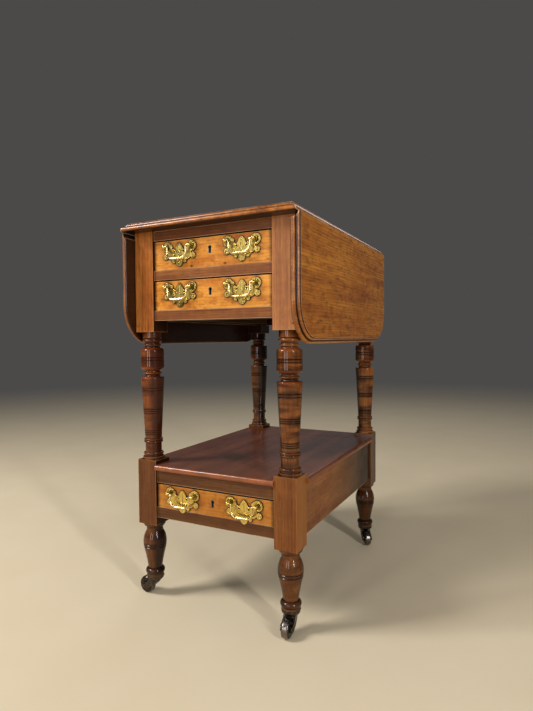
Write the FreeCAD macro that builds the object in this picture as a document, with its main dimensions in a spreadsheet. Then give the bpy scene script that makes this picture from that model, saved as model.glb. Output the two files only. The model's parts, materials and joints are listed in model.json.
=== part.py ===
import FreeCAD, Part
import os
import Sketcher
from FreeCAD import Placement, Rotation, Vector

# A drop leaf side table: two drawers above, one drawer under a shelf, turned legs on castors.
# Millimetres; origin on the floor under the middle of the top, +Z up, the front faces -Y.

doc = FreeCAD.newDocument("drop_leaf_side_table")

# Driving sizes, one cell each.
SIZES = {
    # top, leaves and rule joint
    "overall_height": 734, "top_thickness": 16, "top_overhang": 26.2, "leaf_clearance": 1.3,
    "leaf_width": 216, "leaf_corner": 72, "rule_fillet": 4, "rule_gap": 0.4,
    # moulded edge, from the top face down: fillet, ovolo and quirk over a full roll
    "edge_setback": 10.5, "edge_fillet": 1.5, "edge_ovolo": 4.4, "edge_quirk": 1.5,
    # legs: square blocks, how far they stand past the cases, and the thicker stock that is turned
    "leg_size": 43, "leg_spread_x": 298.4, "leg_spread_y": 448.6, "leg_foot": 42.5,
    "upper_block_tail": 21.6, "lower_block_stand": 7.5, "lower_block_tail": 16,
    "turning_stock": 3, "turning_swell": 1.1, "bulb_swell": 1.5,
    # turning under the upper block, downwards; each neck is a bead between two coves
    "collar_height": 11.5, "collar_radius": 18.2, "collar_quirk": 1.6,
    "ring_height": 7, "ring_radius": 19.2, "ring_swell": 2.2,
    "upper_neck_height": 10.9, "upper_neck_radius": 14.8, "upper_neck_hollow": 1.3,
    "barrel_height": 43, "barrel_round": 6,
    "lower_neck_height": 13.5, "lower_neck_radius": 14.7, "lower_neck_hollow": 2,
    "neck_bead_height": 3.4, "neck_bead_swell": 1.4,
    # tapered column, then downwards to the lower block
    "column_round": 3, "column_foot_radius": 16.2,
    "bead_height": 4.2, "bead_radius": 18.4, "bead_swell": 1.6, "reel_height": 18.6, "reel_radius": 15.8,
    "base_bead": 5, "base_bead_radius": 19.6, "base_bead_swell": 1.8,
    "base_step": 3.6, "base_step_radius": 18, "base_plinth": 5, "base_inset": 0.7,
    # cut lines in the turning: places as shares of the column's or the barrel's height
    "line_width": 1.6, "line_depth": 0.8, "line_pitch": 3.7, "pair_pitch": 5.2,
    "upper_lines_share": 0.8, "middle_lines_share": 0.445, "lower_lines_share": 0.1,
    "barrel_lines_share": 0.5,
    # foot under the lower block, downwards
    "cushion_height": 9, "cushion_swell": 0.5, "throat_height": 16.3, "throat_radius": 16.3,
    "bulb_height": 22.7, "belly_height": 2, "belly_drop": 0.1,
    "band_height": 8, "band_drop": 0.8, "ankle_radius": 13.4, "ankle_hollow": 0.6,
    "toe_height": 11.5, "toe_radius": 18.9, "toe_swell": 3.5, "toe_step": 3, "toe_step_radius": 16.5,
    # joinery
    "rail_inset": 4, "rail_depth": 45, "tenon_length": 18, "tenon_thickness": 9, "tenon_shoulder": 4,
    "joint_gap": 0.1,
    # upper case: heights of its rails and drawer openings, from the top's underside down
    "top_rail_height": 18.6, "upper_drawer_height": 56.6, "middle_rail_height": 18.8,
    "middle_drawer_height": 57.3, "bottom_rail_height": 19.1,
    "side_thickness": 12, "back_thickness": 14,
    # shelf and lower case
    "shelf_top": 268.5, "shelf_thickness": 11.5, "shelf_lip": 8, "shelf_gap": 0.3, "shelf_round": 5,
    "lower_top_rail_height": 23.6, "lower_drawer_height": 47.4, "lower_bottom_rail_height": 21,
    "apron_thickness": 15,
    # drawer bays
    "runner_height": 16, "runner_width": 15, "guide_height": 14, "stop_height": 5, "stop_width": 30,
    "stop_thickness": 8, "stop_inset": 60,
    # drawers
    "drawer_side_gap": 1, "drawer_rise": 0.3, "drawer_head_gap": 2.6, "drawer_back_gap": 12,
    "front_thickness": 20, "front_lap": 6, "box_thickness": 9.5, "box_drop": 2, "bottom_lift": 7,
    "bottom_thickness": 5, "bottom_groove": 4, "tail_slope": 2.2, "tail_share": 0.62,
    # keyhole and lock
    "keyhole_drop": 19, "keyhole_radius": 3.2, "keyhole_slot": 4.6, "keyhole_length": 10,
    "liner_wall": 0.8, "liner_depth": 3, "lock_width": 52, "lock_height": 30.5, "lock_depth": 11,
    "lock_plate": 2, "bolt_width": 22, "bolt_thickness": 4,
    # pulls
    "pull_offset": 67, "post_spread": 56, "post_drop": 12.5, "plate_thickness": 1.6,
    "scroll_radius": 9.6, "ear_radius": 5.4, "ear_out": 2.6, "ear_drop": 17.6,
    "curl_radius": 4.2, "curl_in": 8.6, "curl_rise": 0.6, "shield_radius": 14.2, "shield_drop": 15,
    "wing_radius": 10.5, "wing_in": 11.5, "wing_drop": 13.5,
    "leaf_tip_rise": 7.4, "leaf_tip_half": 9.3, "leaf_tip_foot": 9.5,
    "scallop_radius": 3.8, "scallop_out": 12.4, "scallop_drop": 26,
    "drop_half": 7.4, "drop_top": 28, "drop_tip": 36.5,
    "pierce_radius": 1.5, "pierce_out": 10, "pierce_drop": 8.6,
    "post_stand": 9.5, "post_radius": 2.4, "post_foot_radius": 4.6, "post_foot_height": 2,
    "ball_radius": 3.9, "ball_cover": 2.2, "pin_fit": 0.05,
    "bail_half": 21.2, "bail_drop": 23, "bail_end_radius": 1.4, "bail_grip_radius": 2.4,
    "bail_neck": 2.8, "bail_side_radius": 12,
    # rule joint hinges
    "hinge_place": 150, "hinge_length": 56, "hinge_plate": 2, "hinge_top_flap": 28, "hinge_leaf_flap": 44,
    "knuckle_radius": 3.6, "hinge_pin_radius": 1.8, "knuckle_gap": 0.3,
    # fly brackets: a finger bevel at the free end, whose underside sweeps up
    "fly_thickness": 12, "fly_height": 50, "fly_pin_place": -60, "fly_length": 170, "fly_pin_radius": 2.2,
    "fly_gap": 0.6, "fly_bevel": 6, "fly_bevel_length": 34, "fly_rise_gap": 0.5, "fly_tip_height": 22,
    "fly_sweep": 62, "fly_sweep_radius": 80,
    # castors
    "socket_radius": 17, "socket_bottom": 33, "socket_neck_radius": 12.4, "socket_swell_radius": 7,
    "stem_radius": 4.5, "stem_top": 82, "tube_wall": 1.4,
    "wheel_radius": 16.5, "wheel_width": 14, "wheel_round": 4, "hub_radius": 6.5, "hub_stand": 0.8,
    "axle_radius": 2.6, "castor_offset": 21.5,
    "cheek_thickness": 2.6, "cheek_end_radius": 6.2, "cheek_gap": 0.6, "wheel_room": 1.2,
    "horn_back": 5.2, "horn_front": 8.4, "horn_back_sweep": 31.5, "horn_front_sweep": 21,
    "crown_radius": 10.5, "crown_height": 3.2, "swivel_gap": 0.3,
}

# Heights and places that follow from the driving sizes.
PLACES = {
    "under_top": "size.overall_height - size.top_thickness",
    "ovolo": "size.top_thickness - size.rule_fillet",
    "edge_roll": "size.top_thickness - size.edge_fillet - size.edge_ovolo - size.edge_quirk",
    "leg_x": "size.leg_spread_x / 2",
    "leg_y": "size.leg_spread_y / 2",
    "leg_half": "size.leg_size / 2",
    "pin_x": "place.leg_x + place.leg_half + size.leaf_clearance",
    "top_half": "place.leg_y + place.leg_half + size.top_overhang",
    "opening_half": "place.leg_x - place.leg_half",
    "leg_inner_y": "place.leg_y - place.leg_half",
    "side_face": "place.leg_x + place.leg_half - size.rail_inset",
    "front_face": "place.leg_y + place.leg_half - size.rail_inset",
    "upper_drawer_top": "place.under_top - size.top_rail_height",
    "upper_drawer_floor": "place.upper_drawer_top - size.upper_drawer_height",
    "middle_drawer_top": "place.upper_drawer_floor - size.middle_rail_height",
    "middle_drawer_floor": "place.middle_drawer_top - size.middle_drawer_height",
    "upper_case_bottom": "place.middle_drawer_floor - size.bottom_rail_height",
    "shelf_bottom": "size.shelf_top - size.shelf_thickness",
    "lower_drawer_top": "place.shelf_bottom - size.lower_top_rail_height",
    "lower_drawer_floor": "place.lower_drawer_top - size.lower_drawer_height",
    "lower_case_bottom": "place.lower_drawer_floor - size.lower_bottom_rail_height",
    "upper_block_bottom": "place.upper_case_bottom - size.upper_block_tail",
    "collar_foot": "place.upper_block_bottom - size.collar_height",
    "ring_top": "place.collar_foot - size.collar_quirk",
    "ring_foot": "place.ring_top - size.ring_height",
    "barrel_top": "place.ring_foot - size.upper_neck_height",
    "barrel_foot": "place.barrel_top - size.barrel_height",
    "column_top": "place.barrel_foot - size.lower_neck_height",
    "lower_block_top": "size.shelf_top + size.lower_block_stand",
    "plinth_top": "place.lower_block_top + size.base_plinth",
    "base_bead_foot": "place.plinth_top + size.base_step",
    "base_top": "place.base_bead_foot + size.base_bead",
    "reel_top": "place.base_top + size.reel_height",
    "column_foot": "place.reel_top + 2 * size.bead_height",
    "turned_radius": "place.leg_half + size.turning_swell",
    "lower_block_bottom": "place.lower_case_bottom - size.lower_block_tail",
    "cushion_foot": "place.lower_block_bottom - size.cushion_height",
    "cushion_radius": "place.leg_half + size.cushion_swell",
    "throat": "place.lower_block_bottom - size.throat_height",
    "bulb_radius": "place.leg_half + size.bulb_swell",
    "bulb_middle": "place.throat - size.bulb_height",
    "belly": "place.bulb_middle - size.belly_height",
    "belly_radius": "place.bulb_radius - size.belly_drop",
    "band_foot": "place.belly - size.band_height",
    "band_radius": "place.belly_radius - size.band_drop",
    "toe_foot": "size.leg_foot + size.toe_step",
    "toe_top": "place.toe_foot + size.toe_height",
    "stock_half": "place.leg_half + size.turning_stock",
    "turning_reach": "place.stock_half * sqrt(2) + size.line_width",
    "upper_side_outer": "place.side_face - size.fly_thickness",
    "upper_side_inner": "place.upper_side_outer - size.side_thickness",
    "apron_inner": "place.side_face - size.apron_thickness",
    "back_inner": "place.front_face - size.back_thickness",
    "drawer_half": "place.opening_half - size.drawer_side_gap",
    "drawer_back": "place.back_inner - size.drawer_back_gap",
    "box_front": "size.front_thickness - place.front_face",
    "post_y": "-place.front_face - size.plate_thickness - size.post_stand",
    "fly_x": "place.side_face - size.fly_thickness / 2",
    "fly_top": "place.under_top - size.fly_rise_gap",
    "fly_end": "size.fly_pin_place + size.fly_length",
    "stem_bore": "size.stem_radius + size.pin_fit",
    "tube_radius": "place.stem_bore + size.tube_wall",
    "cheek_inner": "size.wheel_width / 2 + size.hub_stand + size.cheek_gap",
    "crown_top": "size.socket_bottom - size.swivel_gap",
}


def fill_sheet(name, cells):
    """A sheet with one aliased cell for each name."""
    sheet = doc.addObject("Spreadsheet::Sheet", name)
    for row, (alias, content) in enumerate(cells.items(), 1):
        sheet.set(f"A{row}", alias)
        sheet.set(f"B{row}", str(content))
        sheet.setAlias(f"B{row}", alias)
    return sheet


size = fill_sheet("size", SIZES)
doc.recompute()
place = fill_sheet("place", {alias: "=" + formula for alias, formula in PLACES.items()})
doc.recompute()

TAIL_COUNT = 3
KNUCKLES = 5
FIXED = range(0, KNUCKLES, 2)
MOVING = range(1, KNUCKLES, 2)
SIDES = {"left": -1, "right": 1}
ENDS = {"front": -1, "back": 1}
pieces = {}


def value(expression):
    """The number that an expression over the sheets gives."""
    return float(place.evalExpression(str(expression)))


def keep(label, piece):
    """Names a finished sub-part."""
    piece.Label = label
    pieces[label] = piece
    return piece


def move(piece, x="0", y="0", z="0", rotation=Rotation()):
    """Places an object at three expressions, turned by a fixed rotation."""
    piece.Placement = Placement(Vector(), rotation)
    for axis, expression in zip("xyz", (x, y, z)):
        piece.setExpression(f"Placement.Base.{axis}", str(expression))
    return piece


def solid(kind, name, sizes, x="0", y="0", z="0", rotation=Rotation()):
    """A Part primitive with its sizes and place bound to expressions."""
    piece = doc.addObject("Part::" + kind, name)
    for prop, expression in sizes.items():
        piece.setExpression(prop, str(expression))
    return move(piece, x, y, z, rotation)


def board(name, across, along, up):
    """A rectangular board between two expressions in X, in Y and in Z."""
    sizes = {prop: f"({high}) - ({low})"
             for prop, (low, high) in zip(("Length", "Width", "Height"), (across, along, up))}
    return solid("Box", name, sizes, across[0], along[0], up[0])


def mirrored(side, low, high):
    """A span of X on the right, or its mirror image on the left."""
    return (low, high) if side > 0 else (f"-({high})", f"-({low})")


def group(name, members):
    """Separate solids that share one node."""
    result = doc.addObject("Part::Compound", name)
    result.Links = members
    return result


def fuse(name, members):
    """One solid from several."""
    result = doc.addObject("Part::MultiFuse", name)
    result.Shapes = members
    result.Refine = True
    return result


def cut(name, base, tools):
    """A solid less its tools."""
    result = doc.addObject("Part::Cut", name)
    result.Base = base
    result.Tool = tools[0] if len(tools) == 1 else group(name + "_tools", tools)
    result.Refine = True
    return result


def plane_of(body, role):
    """One of the body's own origin planes."""
    return next(feature for feature in body.Origin.OriginFeatures if feature.Role == role)


class Outline:
    """An outline in a sketch, drawn from point to point, each point bound to the sheets."""

    def __init__(self, body, name, role, u, v):
        self.sketch = body.newObject("Sketcher::SketchObject", name)
        self.sketch.AttachmentSupport = [(plane_of(body, role), "")]
        self.sketch.MapMode = "FlatFace"
        self.first = self.last = (u, v)
        self.edges = []

    def bind(self, kind, refs, expression):
        """One constraint, driven by an expression."""
        index = self.sketch.addConstraint(Sketcher.Constraint(kind, *refs, value(expression)))
        self.sketch.setExpression(f"Constraints[{index}]", str(expression))

    def add(self, geometry, u, v, start=1, end=2):
        """Adds an edge that starts at the last point, and binds that point."""
        index = self.sketch.addGeometry(geometry, False)
        self.bind("DistanceX", (-1, 1, index, start), self.last[0])
        self.bind("DistanceY", (-1, 1, index, start), self.last[1])
        if self.edges:
            self.sketch.addConstraint(Sketcher.Constraint("Coincident", *self.edges[-1][2:], index, start))
        self.edges.append((index, start, index, end))
        self.last = (u, v)
        return index

    def line(self, u, v):
        """A straight edge to the next point."""
        ends = [Vector(value(a), value(b), 0) for a, b in (self.last, (u, v))]
        self.add(Part.LineSegment(*ends), u, v)
        return self

    def arc(self, u, v, radius, turn):
        """An arc to the next point; turn is 1 for anticlockwise and -1 for clockwise."""
        a, b = (Vector(value(p), value(q), 0) for p, q in (self.last, (u, v)))
        chord = b - a
        half = chord.Length / 2
        reach = max(value(radius) ** 2 - half ** 2, 0) ** 0.5
        normal = Vector(-chord.y, chord.x, 0).normalize()
        middle = (a + b) / 2
        centre = middle + normal * reach * turn
        crest = centre - normal * value(radius) * turn
        start, end = (1, 2) if turn > 0 else (2, 1)
        index = self.add(Part.Arc(a, crest, b), u, v, start, end)
        self.bind("Radius", (index,), radius)
        return self

    def close(self):
        """Draws the last edge back to the first point."""
        if self.last != self.first:
            self.line(*self.first)
        self.sketch.addConstraint(Sketcher.Constraint("Coincident", *self.edges[-1][2:], *self.edges[0][:2]))
        return self.sketch

    def end(self):
        """Leaves the outline open and binds its last point."""
        self.bind("DistanceX", (-1, 1, *self.edges[-1][2:]), self.last[0])
        self.bind("DistanceY", (-1, 1, *self.edges[-1][2:]), self.last[1])
        return self.sketch


def new_body(name):
    """An empty body."""
    return doc.addObject("PartDesign::Body", name)


def pad(body, sketch, length, both=False):
    """Pads a sketch, to both sides of its plane where asked."""
    feature = body.newObject("PartDesign::Pad", sketch.Name + "_pad")
    feature.Profile = sketch
    feature.setExpression("Length", str(length))
    if both:
        feature.SideType = "Symmetric"
    return feature


def moulding(body, name, front):
    """The cutter's outline for the moulded edge: outside of its fillet, ovolo, quirk and roll all goes."""
    roll = "place.edge_roll / 2"
    upper = "size.top_thickness - size.edge_fillet"
    lower = f"{upper} - size.edge_ovolo"
    clear = "size.top_thickness"
    outline = Outline(body, name, "YZ_Plane", f"{front} - {clear}", f"size.top_thickness + {clear}")
    outline.line(f"{front} + size.edge_setback", f"size.top_thickness + {clear}")
    outline.line(f"{front} + size.edge_setback", upper)
    outline.arc(f"{front} + size.edge_setback - size.edge_ovolo", lower, "size.edge_ovolo", 1)
    outline.line(f"{front} + size.edge_setback - size.edge_ovolo", "place.edge_roll")
    outline.line(f"{front} + {roll}", "place.edge_roll")
    outline.arc(front, roll, roll, 1)
    outline.arc(f"{front} + {roll}", "0", roll, 1)
    outline.line(f"{front} + {roll}", f"-{clear}")
    outline.line(f"{front} - {clear}", f"-{clear}")
    return outline.close()


def hinge_sites():
    """The two places of the hinges along the depth."""
    return [f"{end} * size.hinge_place" for end in ENDS.values()]


def top_board():
    """The centre top: ovolo edges for the rule joints at the sides, moulded edges at front and back."""
    body = new_body("top_body")
    a, b = "place.pin_x", "place.ovolo"
    section = Outline(body, "top_section", "XZ_Plane", f"-{a}", "size.top_thickness")
    section.line(a, "size.top_thickness")
    section.line(a, b)
    section.arc(f"{a} + {b}", "0", b, -1)
    section.line(f"-{a} - {b}", "0")
    section.arc(f"-{a}", b, b, -1)
    pad(body, section.close(), "2 * place.top_half", both=True)
    cutter = moulding(body, "top_moulding", "-place.top_half")
    trim = body.newObject("PartDesign::Pocket", "top_trim")
    trim.Profile = cutter
    trim.Type = "ThroughAll"
    trim.SideType = "Symmetric"
    doc.recompute()
    back = body.newObject("PartDesign::Mirrored", "top_trim_back")
    back.Originals = [trim]
    back.MirrorPlane = (plane_of(body, "XZ_Plane"), [""])
    body.Tip = back
    move(body, z="place.under_top")
    tools = []
    for side in SIDES.values():
        for site, y in enumerate(hinge_sites()):
            name = f"top_hinge_seat_{side}_{site}"
            tools.append(board(name, mirrored(side, "place.pin_x - size.hinge_top_flap - size.joint_gap",
                                              "place.pin_x + place.ovolo + size.rule_gap"),
                               (f"{y} - size.hinge_length / 2 - size.joint_gap",
                                f"{y} + size.hinge_length / 2 + size.joint_gap"),
                               ("place.under_top - size.top_thickness",
                                "place.under_top + size.hinge_plate + size.joint_gap")))
            tools.append(solid("Cylinder", name + "_knuckle",
                               {"Radius": "size.knuckle_radius + size.knuckle_gap",
                                "Height": "size.hinge_length + 2 * size.joint_gap"},
                               f"{side} * place.pin_x", f"{y} + size.hinge_length / 2 + size.joint_gap",
                               "place.under_top", Rotation(Vector(1, 0, 0), 90)))
    keep("top_board", cut("top_cut", body, [fuse("top_hinge_seats", tools)]))


def at(number, target):
    """Whether two lengths are the same."""
    return abs(number - target) < 1e-6


def upright(edge):
    """Whether a straight edge stands along Z."""
    return at(abs(edge.tangentAt(edge.FirstParameter).z), 1)


def hang(side):
    """How a leaf, or its hinge flap, turns from lying level on the right to hanging on its own side."""
    return Rotation(Vector(0, 0, 1), 0 if side > 0 else 180).multiply(Rotation(Vector(0, 1, 0), 90))


def leaf(label, side):
    """A leaf, modelled level with its pin line on the Y axis, then hung."""
    body = new_body(label + "_body")
    reach = "place.ovolo + size.rule_gap"
    section = Outline(body, label + "_section", "XZ_Plane", "size.rule_gap", "size.top_thickness")
    section.line("size.leaf_width", "size.top_thickness")
    section.line("size.leaf_width", "0")
    section.line(reach, "0")
    section.arc("size.rule_gap", f"sqrt(({reach})^2 - size.rule_gap^2)", reach, 1)
    blank = pad(body, section.close(), "2 * place.top_half", both=True)
    doc.recompute()
    corners = body.newObject("PartDesign::Fillet", label + "_corners")
    far = value("size.leaf_width")
    corners.Base = (blank, [f"Edge{i}" for i, edge in enumerate(blank.Shape.Edges, 1)
                            if upright(edge) and all(at(v.X, far) for v in edge.Vertexes)])
    corners.setExpression("Radius", "size.leaf_corner")
    doc.recompute()
    half, width, corner = "place.top_half", "size.leaf_width", "size.leaf_corner"
    path = Outline(body, label + "_edge", "XY_Plane", "0", f"-{half}")
    path.line(f"{width} - {corner}", f"-{half}")
    path.arc(width, f"{corner} - {half}", corner, 1)
    path.line(width, f"{half} - {corner}")
    path.arc(f"{width} - {corner}", half, corner, 1)
    path.line("0", half)
    trim = body.newObject("PartDesign::SubtractivePipe", label + "_trim")
    trim.Profile = moulding(body, label + "_moulding", f"-{half}")
    trim.Spine = (path.end(), [f"Edge{i + 1}" for i in range(len(path.edges))])
    body.Tip = trim
    reach = "size.hinge_length / 2 + size.joint_gap"
    seat_z = ("-size.hinge_plate", "size.hinge_plate + size.joint_gap")
    tools = [board(f"{label}_hinge_seat_{site}", ("0", "size.hinge_leaf_flap + size.joint_gap"),
                   (f"{y} - ({reach})", f"{y} + {reach}"), seat_z)
             for site, y in enumerate(hinge_sites())]
    seated = cut(label + "_cut", body, tools)
    keep(label, move(seated, f"{side} * place.pin_x", "0", "place.under_top", hang(side)))


def knuckles(name, flap, y, parts):
    """A hinge flap on the Y axis with some of its knuckles, bored for the pin."""
    step = f"size.hinge_length / {KNUCKLES}"
    barrels = [solid("Cylinder", f"{name}_{i}", {"Radius": "size.knuckle_radius",
                                                 "Height": f"{step} - size.knuckle_gap"},
                     "0", f"{y} - size.hinge_length / 2 + {i + 1} * {step} - size.knuckle_gap / 2", "0",
                     Rotation(Vector(1, 0, 0), 90)) for i in parts]
    reliefs = [solid("Cylinder", f"{name}_relief_{i}", {"Radius": "size.knuckle_radius + size.knuckle_gap",
                                                        "Height": f"{step} + size.knuckle_gap"},
                     "0", f"{y} - size.hinge_length / 2 + {i + 1} * {step} + size.knuckle_gap / 2", "0",
                     Rotation(Vector(1, 0, 0), 90)) for i in range(KNUCKLES) if i not in parts]
    bore = solid("Cylinder", name + "_bore", {"Radius": "size.hinge_pin_radius + size.pin_fit",
                                              "Height": "size.hinge_length * 2"},
                 "0", f"{y} + size.hinge_length", "0", Rotation(Vector(1, 0, 0), 90))
    return cut(name, fuse(name + "_blank", [cut(name + "_plate", flap, reliefs)] + barrels), [bore])


def hinges():
    """Rule joint hinges: short flaps in the top, long flaps in the leaves, and the pins they share."""
    top_flaps, pins = [], []
    for label, side in SIDES.items():
        leaf_flaps = []
        for site, y in enumerate(hinge_sites()):
            name = f"hinge_{label}_{site}"
            along = (f"{y} - size.hinge_length / 2", f"{y} + size.hinge_length / 2")
            flap = board(name + "_top_flap", ("-size.hinge_top_flap", "0"), along, ("0", "size.hinge_plate"))
            top_flaps.append(move(knuckles(name + "_top", flap, y, FIXED), f"{side} * place.pin_x", "0",
                                  "place.under_top", Rotation(Vector(0, 0, 1), 0 if side > 0 else 180)))
            flap = board(name + "_leaf_flap", ("0", "size.hinge_leaf_flap"), along, ("0", "size.hinge_plate"))
            leaf_flaps.append(move(knuckles(name + "_leaf", flap, y, MOVING), f"{side} * place.pin_x", "0",
                                   "place.under_top", hang(side)))
            pins.append(solid("Cylinder", name + "_pin",
                              {"Radius": "size.hinge_pin_radius", "Height": "size.hinge_length"},
                              f"{side} * place.pin_x", along[1], "place.under_top",
                              Rotation(Vector(1, 0, 0), 90)))
        keep(f"leaf_{label}_hinge_flaps", group(f"leaf_flaps_{label}", leaf_flaps))
    keep("top_hinge_flaps", group("top_flaps", top_flaps))
    keep("hinge_pins", group("pins", pins))


def bow(height, swell):
    """The radius of an arc that spans a height and swells by so much."""
    return f"((({height}) / 2)^2 + ({swell})^2) / (2 * ({swell}))"


def crest(across, along):
    """The radius of an arc that leaves its widest point straight along the axis."""
    return f"(({across})^2 + ({along})^2) / (2 * ({across}))"


def cut_lines(outline, foot, top, share, pitch, count):
    """A band of fine V cuts in a straight stretch of turning, between two (radius, height) ends."""
    (low_radius, low), (high_radius, high) = foot, top
    middle = f"({low} + ({high} - {low}) * {share})"
    for i in range(count):
        z = f"({middle} + {i - (count - 1) / 2} * {pitch})"
        for shift, depth in ((-1, 0), (0, 1), (1, 0)):
            at_z = f"({z} + {shift} * size.line_width / 2)"
            radius = f"{low_radius} + ({high_radius} - {low_radius}) * ({at_z} - {low}) / ({high} - {low})"
            outline.line(f"{radius} - {depth} * size.line_depth", at_z)


def beaded_neck(outline, foot, top, radius, hollow):
    """A neck drawn upwards: a cove, a bead and a cove, from one height to another."""
    edge, middle = f"({radius} + {hollow})", f"(({foot} + {top}) / 2)"
    low, high = (f"({middle} {sign} size.neck_bead_height / 2)" for sign in "-+")
    outline.line(edge, foot)
    outline.arc(edge, low, bow(f"{low} - {foot}", hollow), -1)
    outline.arc(edge, high, bow("size.neck_bead_height", "size.neck_bead_swell"), 1)
    outline.arc(edge, top, bow(f"{top} - {high}", hollow), -1)


def leg_turning(body):
    """The turned stretch between the square blocks, drawn upwards from the lower block."""
    reach = "place.turning_reach"
    full = "place.turned_radius"
    plinth = "(place.leg_half - size.base_inset)"
    turn = Outline(body, body.Name + "_turning", "XZ_Plane", reach, "place.lower_block_top")
    turn.line(plinth, "place.lower_block_top").line(plinth, "place.plinth_top")
    turn.line("size.base_step_radius", "place.plinth_top")
    turn.line("size.base_step_radius", "place.base_bead_foot")
    bead = "size.base_bead_radius - size.base_bead_swell"
    turn.line(bead, "place.base_bead_foot")
    turn.arc(bead, "place.base_top", bow("size.base_bead", "size.base_bead_swell"), 1)
    turn.line("size.reel_radius", "place.base_top").line("size.reel_radius", "place.reel_top")
    bead = "size.bead_radius - size.bead_swell"
    turn.line(bead, "place.reel_top")
    swell = bow("size.bead_height", "size.bead_swell")
    for i in (1, 2):
        turn.arc(bead, f"place.reel_top + {i} * size.bead_height", swell, 1)
    column = (("size.column_foot_radius", "place.column_foot"), (full, "place.column_top"))
    turn.line(*column[0])
    cut_lines(turn, *column, "size.lower_lines_share", "size.line_pitch", 3)
    cut_lines(turn, *column, "size.middle_lines_share", "size.line_pitch", 3)
    cut_lines(turn, *column, "size.upper_lines_share", "size.pair_pitch", 2)
    turn.line(full, "place.column_top - size.column_round")
    turn.arc(f"{full} - size.column_round", "place.column_top", "size.column_round", 1)
    beaded_neck(turn, "place.column_top", "place.barrel_foot", "size.lower_neck_radius",
                "size.lower_neck_hollow")
    turn.line(f"{full} - size.barrel_round", "place.barrel_foot")
    turn.arc(full, "place.barrel_foot + size.barrel_round", "size.barrel_round", 1)
    cut_lines(turn, (full, "place.barrel_foot"), (full, "place.barrel_top"), "size.barrel_lines_share",
              "size.pair_pitch", 2)
    turn.line(full, "place.barrel_top - size.barrel_round")
    turn.arc(f"{full} - size.barrel_round", "place.barrel_top", "size.barrel_round", 1)
    beaded_neck(turn, "place.barrel_top", "place.ring_foot", "size.upper_neck_radius",
                "size.upper_neck_hollow")
    ring = "size.ring_radius - size.ring_swell"
    turn.line(ring, "place.ring_foot")
    turn.arc(ring, "place.ring_top", bow("size.ring_height", "size.ring_swell"), 1)
    turn.line("size.collar_radius - size.collar_quirk", "place.ring_top")
    turn.line("size.collar_radius", "place.collar_foot")
    turn.line("size.collar_radius", "place.upper_block_bottom")
    turn.line(reach, "place.upper_block_bottom")
    return turn.close()


def foot_turning(body):
    """The turned foot under the lower block, drawn upwards from the castor."""
    reach = "place.turning_reach"
    toe, step = "size.toe_radius - size.toe_swell", "size.toe_step_radius"
    turn = Outline(body, body.Name + "_foot", "XZ_Plane", reach, "size.leg_foot - size.toe_height")
    turn.line(step, "size.leg_foot - size.toe_height").line(step, "place.toe_foot")
    turn.line(toe, "place.toe_foot")
    turn.arc(toe, "place.toe_top", bow("size.toe_height", "size.toe_swell"), 1)
    turn.line("size.ankle_radius", "place.toe_top")
    slant = "sqrt((place.band_radius - size.ankle_radius)^2 + (place.band_foot - place.toe_top)^2)"
    turn.arc("place.band_radius", "place.band_foot", bow(slant, "size.ankle_hollow"), -1)
    cut_lines(turn, ("place.band_radius", "place.band_foot"), ("place.belly_radius", "place.belly"),
              "size.barrel_lines_share", "size.pair_pitch", 2)
    turn.line("place.belly_radius", "place.belly")
    turn.arc("place.bulb_radius", "place.bulb_middle", crest("size.belly_drop", "size.belly_height"), 1)
    turn.arc("size.throat_radius", "place.throat",
             crest("place.bulb_radius - size.throat_radius", "size.bulb_height"), 1)
    turn.line("size.throat_radius", "place.cushion_foot")
    turn.arc("place.cushion_radius", "place.lower_block_bottom",
             crest("place.cushion_radius - size.throat_radius", "size.cushion_height"), 1)
    turn.line(reach, "place.lower_block_bottom")
    return turn.close()


def groove(body, sketch):
    """Turns a sketch about the leg's axis and takes it away."""
    feature = body.newObject("PartDesign::Groove", sketch.Name + "_groove")
    feature.Profile = sketch
    feature.ReferenceAxis = (sketch, ["V_Axis"])
    feature.Angle = 360
    return feature


MORTISES = {f"{end}_{side}": [] for end in ENDS for side in SIDES}


def square_stock(body, name, half, foot, top):
    """A square length of stock on the leg's axis, from one height to another."""
    outline = Outline(body, name, "XY_Plane", f"-{half}", f"-{half}")
    outline.line(half, f"-{half}").line(half, half).line(f"-{half}", half)
    sketch = outline.close()
    sketch.setExpression("AttachmentOffset.Base.z", foot)
    return pad(body, sketch, f"{top} - {foot}")


def legs():
    """Square blanks, turned between and below the blocks, mortised for rails and bored for castors."""
    thick = "place.stock_half"
    for end, front in ENDS.items():
        for side, right in SIDES.items():
            name = f"leg_{end}_{side}"
            body = new_body(name + "_body")
            square_stock(body, name + "_blank", "place.leg_half", "0", "place.under_top")
            square_stock(body, name + "_column_stock", thick, "place.plinth_top", "place.collar_foot")
            square_stock(body, name + "_foot_stock", thick, "0", "place.lower_block_bottom")
            for sketch in (leg_turning(body), foot_turning(body)):
                body.Tip = groove(body, sketch)
            x, y = f"{right} * place.leg_x", f"{front} * place.leg_y"
            move(body, x, y)
            foot = board(name + "_below", (f"{x} - size.leg_size", f"{x} + size.leg_size"),
                         (f"{y} - size.leg_size", f"{y} + size.leg_size"),
                         ("-size.leg_foot", "size.leg_foot"))
            bore = solid("Cylinder", name + "_bore", {"Radius": "place.tube_radius + size.pin_fit",
                                                      "Height": "size.stem_top + size.joint_gap"}, x, y)
            keep(name, cut(name + "_cut", body, [foot, bore] + MORTISES[f"{end}_{side}"]))


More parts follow.
